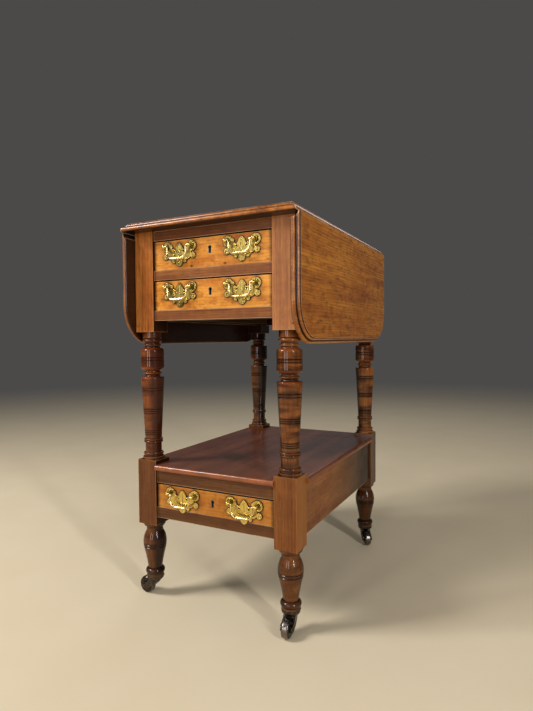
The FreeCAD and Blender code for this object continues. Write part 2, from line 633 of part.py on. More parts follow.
def crosspiece(label, front, along, up, tenon_y):
    """A rail or panel between two legs, tenoned into both."""
    end = "front" if front < 0 else "back"
    inner = "place.opening_half"
    long = f"({inner} + size.tenon_length)"
    shoulder = (f"{up[0]} + size.tenon_shoulder", f"{up[1]} - size.tenon_shoulder")
    rail = board(label + "_rail", (f"-{inner}", inner), along, up)
    tongue = board(label + "_tenons", (f"-{long}", long), tenon_y, shoulder)
    for side, right in SIDES.items():
        hole = board(f"{label}_mortise_{side}",
                     mirrored(right, f"{inner} - size.tenon_length", f"{long} + size.joint_gap"),
                     (f"{tenon_y[0]} - size.joint_gap", f"{tenon_y[1]} + size.joint_gap"),
                     (f"{shoulder[0]} - size.joint_gap", f"{shoulder[1]} + size.joint_gap"))
        MORTISES[f"{end}_{side}"].append(hole)
    keep(label, fuse(label + "_fuse", [rail, tongue]))


def sidepiece(label, right, across, up):
    """A side panel or apron between a front and a back leg, tenoned into both."""
    side = "right" if right > 0 else "left"
    inner = "place.leg_inner_y"
    long = f"({inner} + size.tenon_length)"
    middle = f"(({across[0]} + {across[1]}) / 2)"
    tongue_x = (f"{middle} - size.tenon_thickness / 2", f"{middle} + size.tenon_thickness / 2")
    shoulder = (f"{up[0]} + 2 * size.tenon_shoulder", f"{up[1]} - 2 * size.tenon_shoulder")
    panel = board(label + "_panel", mirrored(right, *across), (f"-{inner}", inner), up)
    tongue = board(label + "_tenons", mirrored(right, *tongue_x), (f"-{long}", long), shoulder)
    for end, front in ENDS.items():
        hole = board(f"{label}_mortise_{end}",
                     mirrored(right, f"{tongue_x[0]} - size.joint_gap", f"{tongue_x[1]} + size.joint_gap"),
                     mirrored(front, f"{inner} - size.tenon_length", f"{long} + size.joint_gap"),
                     (f"{shoulder[0]} - size.joint_gap", f"{shoulder[1]} + size.joint_gap"))
        MORTISES[f"{end}_{side}"].append(hole)
    keep(label, fuse(label + "_fuse", [panel, tongue]))


def case_frames():
    """Rails, backs and sides of the upper and the lower case."""
    front = "place.front_face"
    rail = (f"-{front}", f"size.rail_depth - {front}")
    rail_tenon = (f"size.tenon_shoulder - {front}", f"size.tenon_shoulder + size.tenon_thickness - {front}")
    back = ("place.back_inner", front)
    back_tenon = (f"{front} - size.tenon_shoulder / 2 - size.tenon_thickness",
                  f"{front} - size.tenon_shoulder / 2")
    for label, up in {
        "upper_top_rail": ("place.upper_drawer_top", "place.under_top"),
        "upper_middle_rail": ("place.middle_drawer_top", "place.upper_drawer_floor"),
        "upper_bottom_rail": ("place.upper_case_bottom", "place.middle_drawer_floor"),
        "lower_top_rail": ("place.lower_drawer_top", "place.shelf_bottom"),
        "lower_bottom_rail": ("place.lower_case_bottom", "place.lower_drawer_floor"),
    }.items():
        crosspiece(label, -1, rail, up, rail_tenon)
    crosspiece("upper_back", 1, back, ("place.upper_case_bottom", "place.under_top"), back_tenon)
    crosspiece("lower_back", 1, back, ("place.lower_case_bottom", "place.shelf_bottom"), back_tenon)
    for side, right in SIDES.items():
        sidepiece(f"upper_side_{side}", right, ("place.upper_side_inner", "place.upper_side_outer"),
                  ("place.upper_case_bottom", "place.under_top"))
        sidepiece(f"lower_side_{side}", right, ("place.apron_inner", "place.side_face"),
                  ("place.lower_case_bottom", "place.shelf_bottom"))


def shelf():
    """The undertier shelf, notched round the lower blocks, with a round edge between them."""
    body = new_body("shelf_body")
    edge_x, edge_y = "(place.side_face + size.shelf_lip)", "(place.front_face + size.shelf_lip)"
    notch_x, notch_y = "(place.opening_half - size.shelf_gap)", "(place.leg_inner_y - size.shelf_gap)"
    plan = Outline(body, "shelf_plan", "XY_Plane", f"-{notch_x}", f"-{edge_y}")
    plan.line(notch_x, f"-{edge_y}").line(notch_x, f"-{notch_y}").line(edge_x, f"-{notch_y}")
    plan.line(edge_x, notch_y).line(notch_x, notch_y).line(notch_x, edge_y)
    plan.line(f"-{notch_x}", edge_y).line(f"-{notch_x}", notch_y).line(f"-{edge_x}", notch_y)
    plan.line(f"-{edge_x}", f"-{notch_y}").line(f"-{notch_x}", f"-{notch_y}")
    blank = pad(body, plan.close(), "size.shelf_thickness")
    doc.recompute()
    far = {"X": value(edge_x), "Y": value(edge_y)}
    soft = body.newObject("PartDesign::Fillet", "shelf_lips")
    soft.Base = (blank, [f"Edge{i}" for i, edge in enumerate(blank.Shape.Edges, 1) if not upright(edge)
                         and any(all(at(abs(getattr(v, axis)), reach) for v in edge.Vertexes)
                                 for axis, reach in far.items())])
    soft.setExpression("Radius", "size.shelf_round")
    body.Tip = soft
    keep("shelf", move(body, z="place.shelf_bottom"))


def bay(name, floor, head, ceiling, side_inner):
    """Runners under a drawer, guides beside it, kickers over it where nothing else is, and its stops."""
    members = []
    inner, leg = "place.opening_half", "place.leg_inner_y"
    behind = ("size.rail_depth - place.front_face", leg)
    stop = "place.box_front + size.drawer_rise"
    for side, right in SIDES.items():
        tread = mirrored(right, f"{inner} - size.runner_width", side_inner)
        members.append(board(f"{name}_runner_{side}", tread, behind,
                             (f"{floor} - size.runner_height", floor)))
        members.append(board(f"{name}_guide_{side}", mirrored(right, inner, side_inner), (f"-{leg}", leg),
                             (floor, f"{floor} + size.guide_height")))
        if ceiling:
            members.append(board(f"{name}_kicker_{side}", tread, behind, (head, ceiling)))
        block = mirrored(right, f"{inner} - size.stop_inset - size.stop_width", f"{inner} - size.stop_inset")
        members.append(board(f"{name}_stop_{side}", block, (stop, f"{stop} + size.stop_thickness"),
                             (floor, f"{floor} + size.stop_height")))
    return members


def bays():
    """Drawer bays of both cases."""
    upper = bay("upper_bay", "place.upper_drawer_floor", "place.upper_drawer_top", "place.under_top",
                "place.upper_side_inner")
    upper += bay("middle_bay", "place.middle_drawer_floor", "place.middle_drawer_top", None,
                 "place.upper_side_inner")
    keep("upper_runners", group("upper_bays", upper))
    lower = bay("lower_bay", "place.lower_drawer_floor", "place.lower_drawer_top", "place.shelf_bottom",
                "place.apron_inner")
    keep("lower_runners", group("lower_bays", lower))


def tails(name, right, y_root, y_tip, joints, grow):
    """Dovetail tails on a drawer side, spreading towards their tips; grow makes them the sockets' cutters."""
    low, high = joints
    pitch = f"(({high}) - ({low})) / {TAIL_COUNT}"
    tip = f"(({pitch}) * size.tail_share / 2 + {grow} * size.joint_gap)"
    root = f"({tip} - size.tail_slope)"
    gap = f"{grow} * size.joint_gap"
    across = mirrored(right, f"place.drawer_half - size.box_thickness - {gap}", f"place.drawer_half + {gap}")
    forward = value(y_tip) < value(y_root)
    near, far = (tip, root) if forward else (root, tip)
    y_low, y_high = (y_tip, y_root) if forward else (y_root, y_tip)
    result = []
    for i in range(TAIL_COUNT):
        middle = f"({low} + {2 * i + 1} * {pitch} / 2)"
        result.append(solid("Wedge", f"{name}_{i}", {
            "Xmin": across[0], "Xmax": across[1], "X2min": across[0], "X2max": across[1],
            "Ymin": f"{y_low} - {gap}", "Ymax": f"{y_high} + {gap}",
            "Zmin": f"{middle} - {near}", "Zmax": f"{middle} + {near}",
            "Z2min": f"{middle} - {far}", "Z2max": f"{middle} + {far}"}))
    return result


def keyhole(name, grow, y_low, y_high, top):
    """A keyhole: a round eye over a narrower slot, grown on all sides by an expression."""
    eye = f"({top} - size.keyhole_drop)"
    half = f"(size.keyhole_slot / 2 + {grow})"
    foot = f"{eye} - (size.keyhole_length + {grow})"
    return fuse(name, [disc(name + "_eye", "0", eye, f"size.keyhole_radius + {grow}", y_low, y_high),
                       board(name + "_slot", (f"-{half}", half), (y_low, y_high), (foot, eye))])


def drawer(label, floor, head):
    """A dovetailed drawer: half-blind front, sides and back, a grooved-in bottom, a lock and its pulls."""
    low, high = f"({floor} + size.drawer_rise)", f"({head} - size.drawer_head_gap)"
    half, face, gap = "place.drawer_half", "(-place.front_face)", "size.joint_gap"
    box_top = f"({high} - size.box_drop)"
    panel = f"({low} + size.bottom_lift)"
    panel_top = f"({panel} + size.bottom_thickness)"
    joints = (panel_top, box_top)
    lap, back = f"({face} + size.front_lap)", "place.drawer_back"
    back_in = f"({back} - size.box_thickness)"
    slot_edge = f"({half} - size.box_thickness + size.bottom_groove)"
    slot_z = (f"{panel} - {gap}", f"{panel_top} + {gap}")
    sockets, rear_sockets, sides = [], [], []
    for side, right in SIDES.items():
        name = f"{label}_{side}"
        sockets += tails(name + "_socket", right, "place.box_front", lap, joints, 1)
        rear_sockets += tails(name + "_rear_socket", right, back_in, back, joints, 1)
        plank = board(name + "_side", mirrored(right, f"{half} - size.box_thickness", half),
                      ("place.box_front", back_in), (low, box_top))
        blank = fuse(name + "_blank", [plank]
                     + tails(name + "_tail", right, "place.box_front", lap, joints, 0)
                     + tails(name + "_rear_tail", right, back_in, back, joints, 0))
        channel = board(name + "_channel", mirrored(right, f"{half} - 2 * size.box_thickness", slot_edge),
                        (face, f"{back} + size.box_thickness"), slot_z)
        sides.append(cut(name + "_cut", blank, [channel]))
    front = board(label + "_board", (f"-{half}", half), (face, "place.box_front"), (low, high))
    channel = board(label + "_front_channel", (f"-{slot_edge}", slot_edge),
                    ("place.box_front - size.bottom_groove", "place.box_front + size.bottom_groove"), slot_z)
    keep(f"{label}_front", cut(label + "_front_cut", front, sockets + [channel] + lock(label, high)))
    rear = board(label + "_rear", (f"-{half}", half), (back_in, back), (panel_top, box_top))
    keep(f"{label}_box", group(label + "_box_group", sides + [cut(label + "_rear_cut", rear, rear_sockets)]))
    inside = f"({slot_edge} - {gap})"
    reach = (f"place.box_front - size.bottom_groove + {gap}", back)
    keep(f"{label}_bottom", board(label + "_panel", (f"-{inside}", inside), reach, (panel, panel_top)))
    pulls(label, high)


def lock(label, high):
    """A lock let into a drawer front's back: plate and works round a key pocket, bolt, and keyhole liner.

    Gives the cutters that the drawer front needs for it.
    """
    gap, fit, back = "size.joint_gap", "size.pin_fit", "place.box_front"
    face, inner = "(-place.front_face)", f"({back} - size.lock_depth)"
    wide, tall = "size.lock_width / 2", f"({high} - size.lock_height)"
    eye, edge = f"({high} - size.keyhole_drop)", "size.keyhole_radius"
    recess = board(label + "_lock_recess", (f"-{wide} - {gap}", f"{wide} + {gap}"),
                   (f"{inner} - {gap}", f"{back} + {gap}"), (f"{tall} - {gap}", f"{high} + {gap}"))
    opening = keyhole(label + "_keyway", "0", f"{face} - size.liner_depth", back, high)
    seat = keyhole(label + "_liner_seat", "size.liner_wall", f"{face} - size.liner_depth",
                   f"{face} + size.liner_depth", high)
    shell = keyhole(label + "_liner_outer", f"(size.liner_wall - {fit})", face,
                    f"{face} + size.liner_depth - {fit}", high)
    hollow = keyhole(label + "_liner_inner", "0", f"{face} - size.liner_depth",
                     f"{face} + 2 * size.liner_depth", high)
    liner = cut(label + "_liner", shell, [hollow])
    half, thick = "size.bolt_width / 2", "size.bolt_thickness / 2"
    middle, root = f"({back} - size.lock_depth / 2)", f"{high} - size.keyhole_drop / 2"
    bolt = board(label + "_bolt", (f"-{half}", half), (f"{middle} - {thick}", f"{middle} + {thick}"),
                 (root, high))
    way = board(label + "_bolt_way", (f"-{half} - {gap}", f"{half} + {gap}"),
                (f"{middle} - {thick} - {gap}", f"{middle} + {thick} + {gap}"), (root, f"{high} + {gap}"))
    across, plate = (f"-{wide}", wide), f"({back} - size.lock_plate)"
    works, lintel = (inner, f"{plate} - {fit}"), f"({eye} + {edge})"
    head = cut(label + "_lock_head", board(label + "_lock_block", across, works, (lintel, high)), [way])
    case = [head, board(label + "_lock_plate", across, (plate, back), (tall, high)),
            board(label + "_lock_sill", (f"{fit} - {edge}", f"{edge} - {fit}"), works,
                  (tall, f"{eye} - size.keyhole_length"))]
    case += [board(f"{label}_lock_jamb_{side}", mirrored(right, edge, wide), works,
                   (tall, f"{lintel} - {fit}")) for side, right in SIDES.items()]
    keep(f"{label}_lock", group(label + "_lock_group", case + [bolt, liner]))
    return [recess, opening, seat]


def disc(name, x, z, radius, y_low, y_high):
    """A short cylinder lying along Y."""
    return solid("Cylinder", name, {"Radius": radius, "Height": f"{y_high} - ({y_low})"}, x, y_high, z,
                 Rotation(Vector(1, 0, 0), 90))


def spade(name, x, y_low, y_high, z_foot, z_tip, half):
    """A pointed leaf, up or down: two round-backed halves that meet at a tip."""
    tall = f"abs({z_tip} - ({z_foot}))"
    radius = f"(({tall})^2 + ({half})^2) / (2 * ({half}))"
    flank = [disc(f"{name}_{side}", f"{x} + {right} * ({radius} - {half})", z_foot, radius, y_low, y_high)
             for side, right in SIDES.items()]
    lens = doc.addObject("Part::MultiCommon", name + "_lens")
    lens.Shapes = flank
    return lens


def pulls(label, high):
    """Two brass pulls: a lobed and pierced plate, ball posts and a swan-neck bail."""
    line = f"({high} - size.post_drop)"
    skin = ("-place.front_face - size.plate_thickness", "-place.front_face")
    through = (f"{skin[0]} - size.plate_thickness", f"{skin[1]} + size.plate_thickness")
    metal = []
    for side, right in SIDES.items():
        name = f"{label}_pull_{side}"
        x = f"{right} * size.pull_offset"
        lobes = [disc(name + "_shield", x, f"{line} - size.shield_drop", "size.shield_radius", *skin)]
        holes = []
        for hand, out in SIDES.items():
            post = f"({x} + {out} * size.post_spread / 2)"
            for lobe, u, v in (("scroll", post, line),
                               ("ear", f"{post} + {out} * size.ear_out", f"{line} - size.ear_drop"),
                               ("curl", f"{post} - {out} * size.curl_in", f"{line} + size.curl_rise"),
                               ("wing", f"{post} - {out} * size.wing_in", f"{line} - size.wing_drop"),
                               ("scallop", f"{x} + {out} * size.scallop_out", f"{line} - size.scallop_drop")):
                lobes.append(disc(f"{name}_{lobe}_{hand}", u, v, f"size.{lobe}_radius", *skin))
            holes.append(disc(f"{name}_pierce_{hand}", f"{x} + {out} * size.pierce_out",
                              f"{line} - size.pierce_drop", "size.pierce_radius", *through))
            holes.append(disc(f"{name}_post_hole_{hand}", post, line, "size.post_radius", *through))
            metal.append(pull_post(f"{name}_post_{hand}", post, line))
        lobes.append(spade(name + "_tip", x, *skin, f"{line} - size.leaf_tip_foot",
                           f"{line} + size.leaf_tip_rise", "size.leaf_tip_half"))
        lobes.append(spade(name + "_drop", x, *skin, f"{line} - size.drop_top", f"{line} - size.drop_tip",
                           "size.drop_half"))
        metal.append(cut(name + "_plate", fuse(name + "_lobes", lobes), holes))
        bail(f"{label}_bail_{side}", x, line)
    keep(f"{label}_pulls", group(label + "_pull_group", metal))


def pull_post(name, x, z):
    """A post: foot on the plate, shank through it, and a ball bored for the bail."""
    face = "-place.front_face - size.plate_thickness"
    shank = disc(name + "_shank", x, z, "size.post_radius", "place.post_y", "-place.front_face")
    foot = disc(name + "_foot", x, z, "size.post_foot_radius", f"{face} - size.post_foot_height", face)
    ball = solid("Sphere", name + "_ball", {"Radius": "size.ball_radius"}, x, "place.post_y", z)
    bore = solid("Cylinder", name + "_bore", {"Radius": "size.bail_end_radius + size.pin_fit",
                                              "Height": "4 * size.ball_radius"},
                 f"{x} - 2 * size.ball_radius", "place.post_y", z, Rotation(Vector(0, 1, 0), 90))
    return cut(name, fuse(name + "_blank", [shank, foot, ball]), [bore])


def ring_sketch(body, name, out, rise, radius):
    """A circle across the bail, at a distance out along X and a height."""
    sketch = body.newObject("Sketcher::SketchObject", name)
    sketch.AttachmentSupport = [(plane_of(body, "YZ_Plane"), "")]
    sketch.MapMode = "FlatFace"
    sketch.setExpression("AttachmentOffset.Base.z", out)
    sketch.addGeometry(Part.Circle(Vector(0, value(rise), 0), Vector(0, 0, 1), value(radius)), False)
    for kind, refs, expression in (("Radius", (0,), radius), ("DistanceX", (-1, 1, 0, 3), "0"),
                                   ("DistanceY", (-1, 1, 0, 3), rise)):
        index = sketch.addConstraint(Sketcher.Constraint(kind, *refs, value(expression)))
        sketch.setExpression(f"Constraints[{index}]", expression)
    return sketch


def bail(label, x, z):
    """A bail: pins into the balls, swan necks down, and a round grip that is thickest in the middle."""
    body = new_body(label + "_body")
    half, neck, drop, bend = "size.bail_half", "size.bail_neck", "size.bail_drop", "size.bail_side_radius"
    root = f"({half} + {neck})"
    end = ring_sketch(body, label + "_end", root, "0", "size.bail_end_radius")
    middle = ring_sketch(body, label + "_middle", "0", f"-{drop}", "size.bail_grip_radius")
    path = Outline(body, label + "_path", "XZ_Plane", root, "0")
    path.arc(half, f"-{neck}", neck, 1)
    path.line(half, f"{bend} - {drop}")
    path.arc(f"{half} - {bend}", f"-{drop}", bend, -1)
    path.line("0", f"-{drop}")
    spine = path.end()
    pin = pad(body, end, f"size.post_spread / 2 + size.ball_cover - {root}")
    grip = body.newObject("PartDesign::AdditivePipe", label + "_grip")
    grip.Profile = end
    grip.Spine = (spine, [f"Edge{i + 1}" for i in range(len(path.edges))])
    grip.Transformation = "Multisection"
    grip.Sections = [(middle, [""])]
    doc.recompute()
    whole = body.newObject("PartDesign::Mirrored", label + "_whole")
    whole.Originals = [pin, grip]
    whole.MirrorPlane = (plane_of(body, "YZ_Plane"), [""])
    body.Tip = whole
    keep(label, move(body, x, "place.post_y", z))


def fly_fingers(name, x, picked, gap):
    """Some of the wooden knuckle's fingers, or the spaces for them where gap is wider than nothing."""
    step = f"size.fly_height / {KNUCKLES}"
    bottom = "place.fly_top - size.fly_height"
    sizes = {"Radius": f"size.fly_thickness / 2 + {gap}", "Height": f"{step} + 2 * {gap} - size.fly_gap"}
    return [solid("Cylinder", f"{name}_{i}", sizes, x, "size.fly_pin_place",
                  f"{bottom} + {i} * {step} + size.fly_gap / 2 - {gap}") for i in picked]


def fly_arm(name, x, right):
    """The swinging arm: bevelled for a finger at its free end, where its underside sweeps up."""
    body = new_body(name)
    half, long, rise = "size.fly_thickness / 2", "size.fly_length", "(size.fly_height - size.fly_tip_height)"
    plan = Outline(body, name + "_plan", "XY_Plane", f"-{right} * {half}", "0")
    plan.line(f"{right} * {half}", "0")
    plan.line(f"{right} * {half}", f"{long} - size.fly_bevel_length")
    plan.line(f"{right} * ({half} - size.fly_bevel)", long)
    plan.line(f"-{right} * {half}", long)
    pad(body, plan.close(), "size.fly_height")
    clear = "size.fly_thickness"
    under = Outline(body, name + "_sweep", "YZ_Plane", f"{long} - size.fly_sweep", "0")
    under.arc(long, rise, "size.fly_sweep_radius", -1)
    under.line(f"{long} + {clear}", rise).line(f"{long} + {clear}", f"-{clear}")
    under.line(f"{long} - size.fly_sweep", f"-{clear}")
    sweep = body.newObject("PartDesign::Pocket", name + "_pocket")
    sweep.Profile = under.close()
    sweep.Type = "ThroughAll"
    sweep.SideType = "Symmetric"
    return move(body, x, "size.fly_pin_place", "place.fly_top - size.fly_height")


def fly_brackets():
    """Fixed fly rails on the case sides, and the brackets that swing out from them on wooden knuckles."""
    rails, pins = [], []
    up = ("place.fly_top - size.fly_height", "place.fly_top")
    for side, right in SIDES.items():
        name = f"fly_{side}"
        x = f"({right} * place.fly_x)"
        across = (f"{x} - size.fly_thickness / 2", f"{x} + size.fly_thickness / 2")
        bore = solid("Cylinder", name + "_bore", {"Radius": "size.fly_pin_radius + size.pin_fit",
                                                  "Height": "2 * size.fly_height"},
                     x, "size.fly_pin_place", "place.fly_top - 3 * size.fly_height / 2")
        plank = board(name + "_fixed_board", across, ("-place.leg_inner_y", "size.fly_pin_place"), up)
        fixed = cut(name + "_fixed", plank, fly_fingers(name + "_fixed_space", x, MOVING, "size.fly_gap"))
        fixed = fuse(name + "_fixed_blank", [fixed] + fly_fingers(name + "_fixed_finger", x, FIXED, "0"))
        moving = cut(name + "_moving", fly_arm(name + "_arm", x, right),
                     fly_fingers(name + "_moving_space", x, FIXED, "size.fly_gap"))
        moving = fuse(name + "_moving_blank", [moving] + fly_fingers(name + "_moving_finger", x, MOVING, "0"))
        rails.append(cut(name + "_rail", fixed, [bore]))
        rails.append(board(name + "_rest", across, ("place.fly_end + size.fly_gap", "place.leg_inner_y"), up))
        keep(f"fly_bracket_{side}", cut(name + "_bracket", moving, [bore]))
        pins.append(solid("Cylinder", name + "_pin",
                          {"Radius": "size.fly_pin_radius", "Height": "size.fly_height"},
                          x, "size.fly_pin_place", up[0]))
    keep("fly_rails", group("fly_rail_group", rails))
    keep("fly_pins", group("fly_pin_group", pins))


CASTOR_TRAILS = {"front_left": 174, "front_right": -84, "back_left": 128, "back_right": -60}


def castors():
    """Castors: a socket cup and tube on each leg, a horn that swivels in it, and a wheel on its axle."""
    sockets = []
    for end, front in ENDS.items():
        for side, right in SIDES.items():
            name = f"{end}_{side}"
            x, y = f"{right} * place.leg_x", f"{front} * place.leg_y"
            sockets.append(move(castor_socket(f"socket_{name}"), x, y))
            turn = Rotation(Vector(0, 0, 1), CASTOR_TRAILS[name])
            keep(f"castor_fork_{name}", move(castor_fork(f"fork_{name}"), x, y, "0", turn))
            keep(f"castor_wheel_{name}", move(castor_wheel(f"wheel_{name}"), x, y, "0", turn))
    keep("castor_sockets", group("socket_group", sockets))


def castor_socket(name):
    """A turned cup under the leg with a tube up into it, bored for the stem."""
    body = new_body(name + "_body")
    rim, neck = "size.socket_radius", "size.socket_neck_radius"
    turn = Outline(body, name + "_profile", "XZ_Plane", "place.stem_bore", "size.socket_bottom")
    turn.line(neck, "size.socket_bottom")
    turn.arc(rim, "(size.socket_bottom + size.leg_foot) / 2", "size.socket_swell_radius", 1)
    turn.line(rim, "size.leg_foot").line("place.tube_radius", "size.leg_foot")
    turn.line("place.tube_radius", "size.stem_top").line("place.stem_bore", "size.stem_top")
    return revolved(body, turn.close())


def revolved(body, profile):
    """Turns a profile about the sketch's upright axis."""
    feature = body.newObject("PartDesign::Revolution", profile.Name + "_turned")
    feature.Profile = profile
    feature.ReferenceAxis = (profile, ["V_Axis"])
    feature.Angle = 360
    return body


def castor_fork(name):
    """A horn trailing along +X: crown, stem, a swept yoke hollowed for the wheel, and the axle it carries."""
    top, boss = "place.crown_top", "size.cheek_end_radius"
    axle_x, axle_z = "size.castor_offset", "size.wheel_radius"
    inner, outer = "place.cheek_inner", "(place.cheek_inner + size.cheek_thickness)"
    crown = solid("Cylinder", name + "_crown", {"Radius": "size.crown_radius", "Height": "size.crown_height"},
                  z=f"{top} - size.crown_height")
    stem = solid("Cylinder", name + "_stem",
                 {"Radius": "size.stem_radius", "Height": f"size.stem_top - {top} + size.crown_height / 2"},
                 z=f"{top} - size.crown_height / 2")
    yoke = new_body(name + "_yoke")
    outline = Outline(yoke, name + "_yoke_outline", "XZ_Plane", "-size.horn_back", top)
    outline.arc(axle_x, f"{axle_z} - {boss}", "size.horn_back_sweep", 1)
    outline.arc(f"{axle_x} + {boss}", axle_z, boss, 1)
    outline.arc(axle_x, f"{axle_z} + {boss}", boss, 1)
    outline.arc("size.horn_front", top, "size.horn_front_sweep", -1)
    pad(yoke, outline.close(), f"2 * {outer}", both=True)
    room = disc(name + "_room", axle_x, axle_z, "size.wheel_radius + size.wheel_room", f"-{inner}", inner)
    bore = disc(name + "_bore", axle_x, axle_z, "size.axle_radius", f"-2 * {outer}", f"2 * {outer}")
    horn = cut(name + "_horn", fuse(name + "_blank", [crown, stem, yoke]), [room, bore])
    axle = disc(name + "_axle", axle_x, axle_z, "size.axle_radius", f"-{outer}", outer)
    return group(name, [horn, axle])


def castor_wheel(name):
    """A wheel with a rounded tread and a raised hub, bored for the axle."""
    body = new_body(name + "_body")
    half, tread = "size.wheel_width / 2", "size.wheel_radius"
    soft, hub = "size.wheel_round", "size.hub_radius"
    bore = "(size.axle_radius + size.pin_fit)"
    turn = Outline(body, name + "_profile", "XY_Plane", bore, f"-{half} - size.hub_stand")
    turn.line(hub, f"-{half} - size.hub_stand").line(hub, f"-{half}").line(f"{tread} - {soft}", f"-{half}")
    turn.arc(tread, f"{soft} - {half}", soft, 1)
    turn.line(tread, f"{half} - {soft}")
    turn.arc(f"{tread} - {soft}", half, soft, 1)
    turn.line(hub, half).line(hub, f"{half} + size.hub_stand").line(bore, f"{half} + size.hub_stand")
    revolved(body, turn.close())
    return group(name, [move(body, "size.castor_offset", "0", "size.wheel_radius")])


def check_and_export():
    """Stops at any failed object, then writes one file for each sub-part."""
    doc.recompute()
    for item in doc.Objects:
        if {"Invalid", "Error"} & set(item.State):
            raise RuntimeError(f"{item.Label} failed: {item.State}")
    os.makedirs("parts", exist_ok=True)
    for label, piece in pieces.items():
        shape = piece.Shape
        if shape.isNull() or not shape.isValid() or not shape.Solids:
            raise RuntimeError(f"{label} has no valid solid")
        shape.exportStep(f"parts/{label}.step")
    print(len(pieces), "sub-parts written")


top_board()
for side_name, side_sign in SIDES.items():
    leaf(f"leaf_{side_name}", side_sign)
hinges()
case_frames()
legs()
shelf()
bays()
drawer("upper_drawer", "place.upper_drawer_floor", "place.upper_drawer_top")
drawer("middle_drawer", "place.middle_drawer_floor", "place.middle_drawer_top")
drawer("lower_drawer", "place.lower_drawer_floor", "place.lower_drawer_top")
fly_brackets()
castors()
check_and_export()
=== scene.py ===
"""Dresses the drop leaf side table: polished woods, old brass, iron, and the fasteners that hold them."""

import json
import logging
import math
from dataclasses import dataclass, replace
from enum import Enum
from functools import cache
from typing import Any

import bpy
from mathutils import Matrix, Vector


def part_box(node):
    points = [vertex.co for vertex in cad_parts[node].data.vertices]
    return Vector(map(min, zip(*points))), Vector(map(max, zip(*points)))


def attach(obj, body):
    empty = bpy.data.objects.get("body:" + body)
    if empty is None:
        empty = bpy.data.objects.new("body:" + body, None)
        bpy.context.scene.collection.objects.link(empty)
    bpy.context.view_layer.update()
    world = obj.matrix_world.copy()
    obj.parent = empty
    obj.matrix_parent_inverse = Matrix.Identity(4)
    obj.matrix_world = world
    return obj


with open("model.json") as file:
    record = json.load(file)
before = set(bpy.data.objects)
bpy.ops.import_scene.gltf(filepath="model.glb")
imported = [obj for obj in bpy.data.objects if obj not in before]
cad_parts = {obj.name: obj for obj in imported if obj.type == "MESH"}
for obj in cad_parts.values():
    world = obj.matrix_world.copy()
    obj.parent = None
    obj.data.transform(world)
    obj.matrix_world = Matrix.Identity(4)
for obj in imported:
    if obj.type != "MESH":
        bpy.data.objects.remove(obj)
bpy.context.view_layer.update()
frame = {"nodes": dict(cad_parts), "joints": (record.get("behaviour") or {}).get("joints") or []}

Tree = bpy.types.NodeTree
Socket = bpy.types.NodeSocket
Material = bpy.types.Material
Piece = bpy.types.Object
Pair = tuple[float, float]
Triple = tuple[float, float, float]
Place = tuple[Vector, Vector]

LOG = logging.getLogger("side_table")
MM = 0.001
JOINTS = {joint["name"]: joint for joint in frame["joints"]}
CORNERS = ("front_left", "front_right", "back_left", "back_right")
RIGHT, LEFT, FRONT, BACK, DOWN = (1, 0, 0), (-1, 0, 0), (0, -1, 0), (0, 1, 0), (0, 0, -1)
# How many rays find edges and hollows, and how many round an edge off; those that look inwards find edges
LOOKS, ROUNDING_LOOKS = 8, 4
LOOK_IN = {"samples": LOOKS, "inside": True, "only_local": True}
# Where each board lies in its log
LOG_START, LOG_STEP = (0.0, 4.0, 6.0), (0.37, 0.53, 0.71)


def linear(hex_colour: str) -> tuple[float, float, float, float]:
    """Turns an sRGB hex colour to linear RGBA.

    Args:
        hex_colour: Six hex digits.

    Returns:
        Linear red, green, blue and a full alpha.
    """
    channels = [int(hex_colour[i:i + 2], 16) / 255 for i in (0, 2, 4)]
    lit = [c / 12.92 if c <= 0.04045 else ((c + 0.055) / 1.055) ** 2.4 for c in channels]
    return (*lit, 1.0)


def add_node(tree: Tree, kind: str, settings: dict[str, Any] | None = None,
             inputs: dict[str | int, Any] | None = None) -> bpy.types.Node:
    """Adds a node with its settings and links.

    Args:
        tree: The tree that gets the node.
        kind: The node's type.
        settings: Its properties, by name.
        inputs: A value or an output socket for each input, by name or number.

    Returns:
        The new node.
    """
    node = tree.nodes.new(kind)
    for name, setting in (settings or {}).items():
        setattr(node, name, setting)
    for key, source in (inputs or {}).items():
        if isinstance(source, Socket):
            tree.links.new(source, node.inputs[key])
        else:
            node.inputs[key].default_value = source
    return node


def new_material(name: str) -> tuple[Material, Tree]:
    """Starts a material.

    Args:
        name: Its name.

    Returns:
        The material and its empty tree.
    """
    material = bpy.data.materials.new(name)
    material.use_nodes = True
    material.node_tree.nodes.clear()
    return material, material.node_tree


def lay(tree: Tree, under: Any, tone: str, pattern: Socket, span: Pair = (0.0, 1.0),
        strength: Any = 1.0) -> Socket:
    """Lays a tone over a colour where a pattern shows.

    Args:
        tree: The material's tree.
        under: The colour so far.
        tone: The tone over it, as hex digits.
        pattern: The pattern.
        span: The pattern's values where the tone starts and where it is full.
        strength: How much the full tone covers.

    Returns:
        The new colour.
    """
    amount = add_node(tree, "ShaderNodeMapRange", inputs={
        "Value": pattern, "From Min": span[0], "From Max": span[1], "To Max": strength})
    return add_node(tree, "ShaderNodeMix", {"data_type": "RGBA"},
                    {0: amount.outputs[0], 6: under, 7: linear(tone)}).outputs[2]


